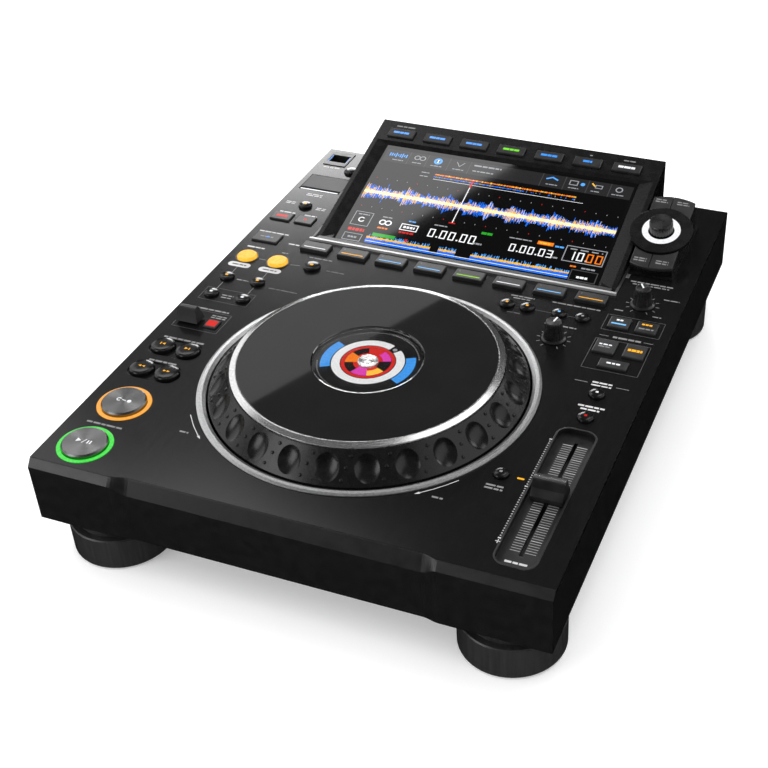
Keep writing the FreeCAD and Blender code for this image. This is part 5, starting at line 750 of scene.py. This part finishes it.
def arrow(face, ink, radius, start, end, wide=0.5):
    """A curved arrow about the wheel, its head at the end angle."""
    face.arc(ink, JOG_X, JOG_Y, radius - wide / 2, radius + wide / 2, start, end)
    tip = math.copysign(1.8, end - start)
    a, b = math.radians(end), math.radians(end + tip)
    face.shape(ink, [(JOG_X + (radius - 0.9) * math.cos(a), JOG_Y + (radius - 0.9) * math.sin(a)),
                     (JOG_X + (radius + 0.9) * math.cos(a), JOG_Y + (radius + 0.9) * math.sin(a)),
                     (JOG_X + radius * math.cos(b), JOG_Y + radius * math.sin(b))])


def rounded(face, ink, left, right, low, high, radius, lift=SHEET_LIFT):
    points = []
    for (u, v), first in (((right - radius, low + radius), -90), ((right - radius, high - radius), 0),
                          ((left + radius, high - radius), 90), ((left + radius, low + radius), 180)):
        for k in range(6):
            a = math.radians(first + k * 18)
            points.append((u + radius * math.cos(a), v + radius * math.sin(a)))
    face.shape(ink, points, lift)


def panel_print():
    face = Print("panel_print", "root", on_panel)
    left_marks(face)
    right_marks(face)
    arrow(face, "white", 113.0, 216.2, 227.6)
    arrow(face, "white", 111.5, 321.6, 309.0)
    face.words("grey", -88.9, -158.0, 6, 1.4, (4, 2))
    face.words("grey", 78.8, -162.4, 7, 1.4, (4, 2))
    return face.done()


def tray_print():
    face = Print("tray_print", "root", on_tray)
    pitch = 2.04
    for k in range(48):
        v = -136.4 + (k - 23.5) * pitch
        ink = "white" if k % 6 == 5 else "light"
        face.bar(ink, 133.0, v, 6.0, 0.42)
        face.bar(ink, 142.0, v, 6.4, 0.42)
    face.words("white", 136.7, -193.5, 13, 1.6, (4, 3, 5))
    return face.done()


# Legends on the moving pieces
def key_legends():
    colours = ["lit_white", "lit_amber", "lit_sky", "lit_sky", "lit_lime", "lit_white", "lit_sky", "lit_amber"]
    for k, ink in enumerate(colours, start=1):
        face = Print(f"pad_legend_{k}", f"pad_key_{k}", on_top(f"pad_key_{k}"))
        face.bar(ink, 0, -2.3, 17, 0.9)
        face.digits("grey", str(k), -8.2, 1.8, 1.6)
        face.done()


def symbol_next(face, ink, u, v, size, sign):
    face.shape(ink, [(u - sign * size, v - size * 0.6), (u + sign * size * 0.2, v), (u - sign * size, v + size * 0.6)]
               [::int(sign)])
    face.bar(ink, u + sign * size * 0.7, v, size * 0.35, size * 1.2)


def transport_legends():
    for node, sign, double in (("track_back_button", -1, False), ("track_next_button", 1, False),
                               ("search_back_button", -1, True), ("search_next_button", 1, True)):
        face = Print(node.replace("button", "legend"), node, on_dome(node))
        if double:
            for shift in (-1.3, 1.3):
                face.shape("lit_amber", [(shift - sign * 1.1, -0.9), (shift + sign * 1.1, 0),
                                         (shift - sign * 1.1, 0.9)][::sign])
        else:
            symbol_next(face, "lit_amber", 0, 0, 1.9, sign)
        face.done()


def large_legends():
    play = Print("play_legend", "play_button", on_top("play_button"))
    play.shape("lit_white", [(-5.2, -1.7), (-2.2, 0), (-5.2, 1.7)])
    play.line("lit_white", [(-0.9, -1.6), (0.7, 1.8)], 0.45)
    play.bar("lit_white", 2.6, 0, 0.8, 3.0)
    play.bar("lit_white", 4.4, 0, 0.8, 3.0)
    play.done()
    cue = Print("cue_legend", "cue_button", on_top("cue_button"))
    cue.arc("lit_white", -3.2, 0, 1.0, 1.6, 40, 320)
    cue.bar("lit_white", 0.4, 0, 2.6, 0.6)
    cue.arc("lit_white", 4.0, 0, 0.0, 1.4)
    cue.done()


LEFT_ROUNDS = [("grey", -131.5, 176.5, 5.4), ("lit_amber", -142.0, 115.5, 5.0), ("lit_amber", -149.6, 6.0, 5.0),
               ("lit_amber", -125.3, 6.0, 5.0), ("lit_white", -149.5, -16.6, 5.0),
               ("lit_white", -125.0, -16.6, 5.0)]
RIGHT_ROUNDS = [("lit_amber", 49.8, 37.4, 5.0), ("lit_amber", 64.3, 37.4, 5.0), ("lit_sky", 87.0, 37.4, 5.0),
                ("grey", 103.5, 37.4, 5.0), ("lit_white", 136.7, -40.5, 5.0), ("lit_red", 136.8, -65.3, 5.0),
                ("grey", 106.0, -131.3, 4.6)]


def domes(name, body, places):
    """Low domes on round buttons, from the middle and radius of each top."""
    points, faces = [], []
    sides, rings = 32, 6
    for centre, radius in places:
        start = len(points)
        for i in range(rings):
            out = radius * math.cos(i * math.pi / 2 / rings)
            rise = ROUND_DOME * math.sin(i * math.pi / 2 / rings)
            points += [centre + Vector((out * math.cos(a), out * math.sin(a), rise)) * MM
                       for a in (2 * math.pi * k / sides for k in range(sides))]
        for i in range(rings - 1):
            for k in range(sides):
                a, b = start + i * sides + k, start + i * sides + (k + 1) % sides
                faces.append([a, b, b + sides, a + sides])
        faces.append([start + (rings - 1) * sides + k for k in range(sides)])
    piece(name, body, points, faces, PLAIN["button_black"], True)


def button_domes():
    for side, rounds in (("left", LEFT_ROUNDS), ("right", RIGHT_ROUNDS)):
        domes(f"{side}_round_domes", f"{side}_round_buttons",
              [(on_panel(x, y, ROUND_TOP), radius - 0.7) for _, x, y, radius in rounds])
    for node, radius in (("track_back_button", 8.0), ("track_next_button", 8.0), ("search_back_button", 8.0),
                         ("search_next_button", 8.0), ("reloop_button", 6.0)):
        domes(node.replace("button", "dome"), node, [(on_top(node)(0, 0), radius - 0.8)])


def on_dome(node):
    top = on_top(node)
    return lambda u, v, lift=0.0: top(u, v, ROUND_DOME + lift)


def round_legends():
    left = Print("left_round_legends", "left_round_buttons",
                 lambda x, y, lift: on_panel(x, y, ROUND_TOP + ROUND_DOME + lift))
    for ink, x, y, _ in LEFT_ROUNDS:
        rounded(left, ink, x - 1.1, x + 1.1, y - 0.9, y + 0.9, 0.4)
    left.done()
    right = Print("right_round_legends", "right_round_buttons",
                  lambda x, y, lift: on_panel(x, y, ROUND_TOP + ROUND_DOME + lift))
    for ink, x, y, _ in RIGHT_ROUNDS:
        rounded(right, ink, x - 0.9, x + 0.9, y - 0.8, y + 0.8, 0.4)
    right.done()
    reloop = Print("reloop_legend", "reloop_button", on_dome("reloop_button"))
    rounded(reloop, "lit_amber", -1.2, 1.2, -1.0, 1.0, 0.5)
    reloop.done()


def flat_legends():
    left = Print("left_key_legends", "left_flat_keys", lambda x, y, lift: on_panel(x, y, FLAT_KEY_TOP + lift))
    left.words("lit_red", -151.5, 95.2, 9, 3.2, (3, 2, 4), 0.2)
    left.disc("lit_red", -132.0, 95.2, 1.2)
    left.words("grey", -147.6, 63.5, 11, 1.6, (2, 3, 4))
    left.disc("lit_blue", -147.0, 63.7, 1.0, 0.08)
    left.bar("lit_red", -130.0, -50.5, 7.2, 6.4)
    left.done()
    right = Print("right_key_legends", "right_flat_keys",
                  lambda x, y, lift: on_panel(x, y, FLAT_KEY_TOP + lift))
    right.words("lit_white", 128.4, 42.0, 5, 1.8, (2, 2), 0.5)
    right.bar("lit_sky", 128.4, 37.6, 10, 1.5)
    right.words("lit_amber", 147.2, 42.2, 8, 1.7, (2, 2), 0.5)
    right.words("grey", 147.2, 37.2, 10, 1.6, (4, 3))
    right.words("lit_white", 127.2, 12.0, 9, 1.4, (3, 2))
    right.words("grey", 127.2, 9.4, 9, 1.2, (4, 3))
    right.words("lit_amber", 147.0, 11.0, 9.6, 2.6, (2, 3), 0.4)
    right.words("lit_white", 137.5, -7.0, 9, 1.7, (3, 2))
    right.done()


def display_legends():
    face = Print("display_key_legends", "display_keys", lambda u, v, lift: on_display(u, v, DISPLAY_KEY_TOP + lift))
    for k, ink in enumerate(("lit_blue", "lit_blue", "lit_blue", "lit_green", "lit_blue", "lit_blue", "lit_white")):
        u = -94 + 30.45 * k
        face.words(ink, u, 120.5, 13 if k != 5 else 7, 2.2, (5, 3, 4), 0.4)
    face.done()
    bar = Print("key_bar_print", "root", on_display)
    bar.words("grey", -93.5, 129.4, 16, 1.4)
    bar.words("grey", 88.5, 129.4, 9, 1.2)
    bar.bar("grey", 58.5, 129.4, 2, 1.2)
    bar.done()
    keys = Print("selector_key_legends", "selector_keys", lambda u, v, lift: on_pod(u, v, lift - 1.5))
    for u in (-7.4, 8.4):
        for v in (31.5, -28.5):
            keys.words("grey", u, v, 9, 1.1, (4, 3))
            keys.words("grey", u, v - 2.2, 9, 1.1, (3, 4))
    keys.done()


def solid_box(name, body, material, centre, sizes, turn=None, bevel=0.2):
    """A small block with rounded edges."""
    x, y, z = (part * MM / 2 for part in sizes)
    turn = turn or Matrix.Identity(3)
    corners = [centre + turn @ Vector((i * x, j * y, k * z)) for i in (-1, 1) for j in (-1, 1) for k in (-1, 1)]
    faces = [(0, 1, 3, 2), (4, 6, 7, 5), (0, 4, 5, 1), (2, 3, 7, 6), (0, 2, 6, 4), (1, 5, 7, 3)]
    made = piece(name, body, corners, faces, material)
    round_off = made.modifiers.new("rounded", "BEVEL")
    round_off.width = bevel * MM
    round_off.segments = 2
    return made


def pointers():
    for name, body in (("speed_pointer", "speed_knob"), ("release_pointer", "release_knob")):
        centre = Vector((middle(body).x, middle(body).y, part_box(body)[1].z))
        heading = math.radians(80 if name == "speed_pointer" else 120)
        turn = Matrix.Rotation(heading, 3, "Z")
        solid_box(name + "_top", body, INKS["lit_white"], centre + turn @ Vector((2.4 * MM, 0, 0)),
                  (5.4, 1.1, 0.3), turn, bevel=0.1)
        solid_box(name + "_side", body, INKS["lit_white"], centre + turn @ Vector((6.15 * MM, 0, -6.4 * MM)),
                  (0.5, 1.1, 10.5), turn @ Matrix.Rotation(math.radians(-7.5), 3, "Y"), bevel=0.1)


def fader_line():
    centre = Vector((middle("fader_cap").x, middle("fader_cap").y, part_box("fader_cap")[1].z))
    solid_box("fader_band", "fader_cap", PLAIN["foot_metal"], centre, (19.0, 4.4, 0.2),
              bevel=0.08)
    solid_box("fader_line", "fader_cap", PLAIN["trim_bright"], centre, (18.4, 1.5, 0.36),
              bevel=0.1)


def pod_tab():
    """The small bright tab beside the selector."""
    solid_box("power_light", "root", PLAIN["bezel_metal"], on_panel(117.9, 99.7, 0.15), (2.6, 7.2, 0.3),
              bevel=0.1)


def ports():
    """Lit lines round the memory socket and in front of the card lid."""
    usb = Print("usb_light", "root", on_panel)
    usb.outline("lit_white", -158.6, -141.2, 183.6, 203.6, 1.3)
    usb.outline("lit_blue", -157.6, -142.2, 184.9, 202.4, 0.9, 0.08)
    usb.done()
    card = Print("card_light", "root", on_panel)
    card.bar("lit_white", -142.9, 141.2, 32, 1.3)
    card.done()


screen()
jog_picture()
jog_hub()
jog_cover()
jog_bumps()
panel_print()
tray_print()
key_legends()
button_domes()
transport_legends()
large_legends()
round_legends()
flat_legends()
display_legends()
pointers()
fader_line()
pod_tab()
ports()


# Floor, light and camera
def floor_paper():
    """White paper that is lit from below as well, so that only the nearest shadows show."""
    made = finish("floor_white", (0.86, 0.86, 0.86), (0.9, 0.9, 0.9), (0.7, 0.8), cells=3)
    shader = shader_of(made)
    shader.inputs["Emission Color"].default_value = (1, 1, 1, 1)
    shader.inputs["Emission Strength"].default_value = 0.3
    return made


def stage():
    half = 5.0
    mesh = bpy.data.meshes.new("floor")
    mesh.from_pydata([(-half, -half, 0), (half, -half, 0), (half, half, 0), (-half, half, 0)], [], [(0, 1, 2, 3)])
    mesh.materials.append(floor_paper())
    floor = bpy.data.objects.new("floor", mesh)
    bpy.context.scene.collection.objects.link(floor)
    floor.visible_glossy = False


def reflector(name, corners, radiance, colour=(1, 1, 1)):
    """A lit card, its corners given from the middle of the panel, that glossy surfaces mirror."""
    mesh = bpy.data.meshes.new(name)
    mesh.from_pydata([(x * MM, y * MM, PANEL + z * MM) for x, y, z in corners], [], [list(range(len(corners)))])
    made, tree, shader = new_material(name)
    shader.inputs["Base Color"].default_value = (0, 0, 0, 1)
    shader.inputs["Specular IOR Level"].default_value = 0
    shader.inputs["Emission Color"].default_value = (*colour, 1)
    shader.inputs["Emission Strength"].default_value = radiance
    mesh.materials.append(made)
    card = bpy.data.objects.new(name, mesh)
    bpy.context.scene.collection.objects.link(card)
    card.visible_camera = False
    card.visible_shadow = False


def overhead_card(name, outline, radiance):
    reflector(name, [(x, y, 1600) for x, y in outline], radiance)


def upright_card(name, distance, first, last, low, high, radiance):
    """A card at a distance, between two headings and two slopes in degrees."""
    ends = [(distance * math.cos(math.radians(a)), distance * math.sin(math.radians(a))) for a in (first, last)]
    bottom, top = (distance * math.tan(math.radians(slope)) for slope in (low, high))
    reflector(name, [(*ends[0], bottom), (*ends[1], bottom), (*ends[1], top), (*ends[0], top)], radiance)


def area_light(name, place, target, size, power, glossy):
    data = bpy.data.lights.new(name, "AREA")
    data.shape = "RECTANGLE"
    data.size, data.size_y = size
    data.energy = power
    made = bpy.data.objects.new(name, data)
    made.location = place
    made.rotation_euler = (Vector(target) - Vector(place)).to_track_quat("-Z", "Y").to_euler()
    made.visible_glossy = glossy
    made.visible_camera = False
    bpy.context.scene.collection.objects.link(made)


def lights():
    area_light("overhead", (-0.1, 0.0, 1.9), (0, 0, 0), (3.0, 3.0), 46, False)
    overhead_card("card_plate", [(-1300, 1415), (-850, 2395), (-2300, 3060), (-2750, 2080)], 0.36)
    overhead_card("card_display", [(-1010, 700), (-560, 1170), (-1160, 1400), (-1900, 900)], 2.7)
    overhead_card("card_rings", [(20, 200), (700, 200), (700, 1500), (20, 1500)], 2.2)
    reflector("card_room", [(x, y, 2600) for x, y in ((-4500, -4500), (4500, -4500), (4500, 4500), (-4500, 4500))],
              0.075)
    upright_card("card_panel", 3000, 106, 125, 2, 26.5, 9.0)
    upright_card("card_left", 3000, 136, 200, 4, 42, 1.3)
    upright_card("card_right", 3000, -35, 40, 8, 48, 1.1)
    upright_card("card_front", 3000, 214, 243, 2, 42, 3.3)
    upright_card("card_edge", 3000, 46, 62, 12, 30, 3.5)
    world = bpy.data.worlds.new("studio")
    world.use_nodes = True
    world.node_tree.nodes["Background"].inputs["Color"].default_value = (0.92, 0.92, 0.93, 1)
    world.node_tree.nodes["Background"].inputs["Strength"].default_value = 1.0
    world.cycles_visibility.glossy = False
    bpy.context.scene.world = world


def camera():
    data = bpy.data.cameras.new("camera")
    data.sensor_width = CAMERA_SENSOR
    data.lens = CAMERA_LENS
    data.shift_x, data.shift_y = CAMERA_SHIFT
    data.clip_start = 0.05
    made = bpy.data.objects.new("camera", data)
    made.location = CAMERA_PLACE
    made.rotation_mode = "QUATERNION"
    made.rotation_quaternion = Quaternion(CAMERA_TURN)
    bpy.context.scene.collection.objects.link(made)
    bpy.context.scene.camera = made


stage()
lights()
camera()
bpy.context.scene.view_settings.view_transform = "Standard"
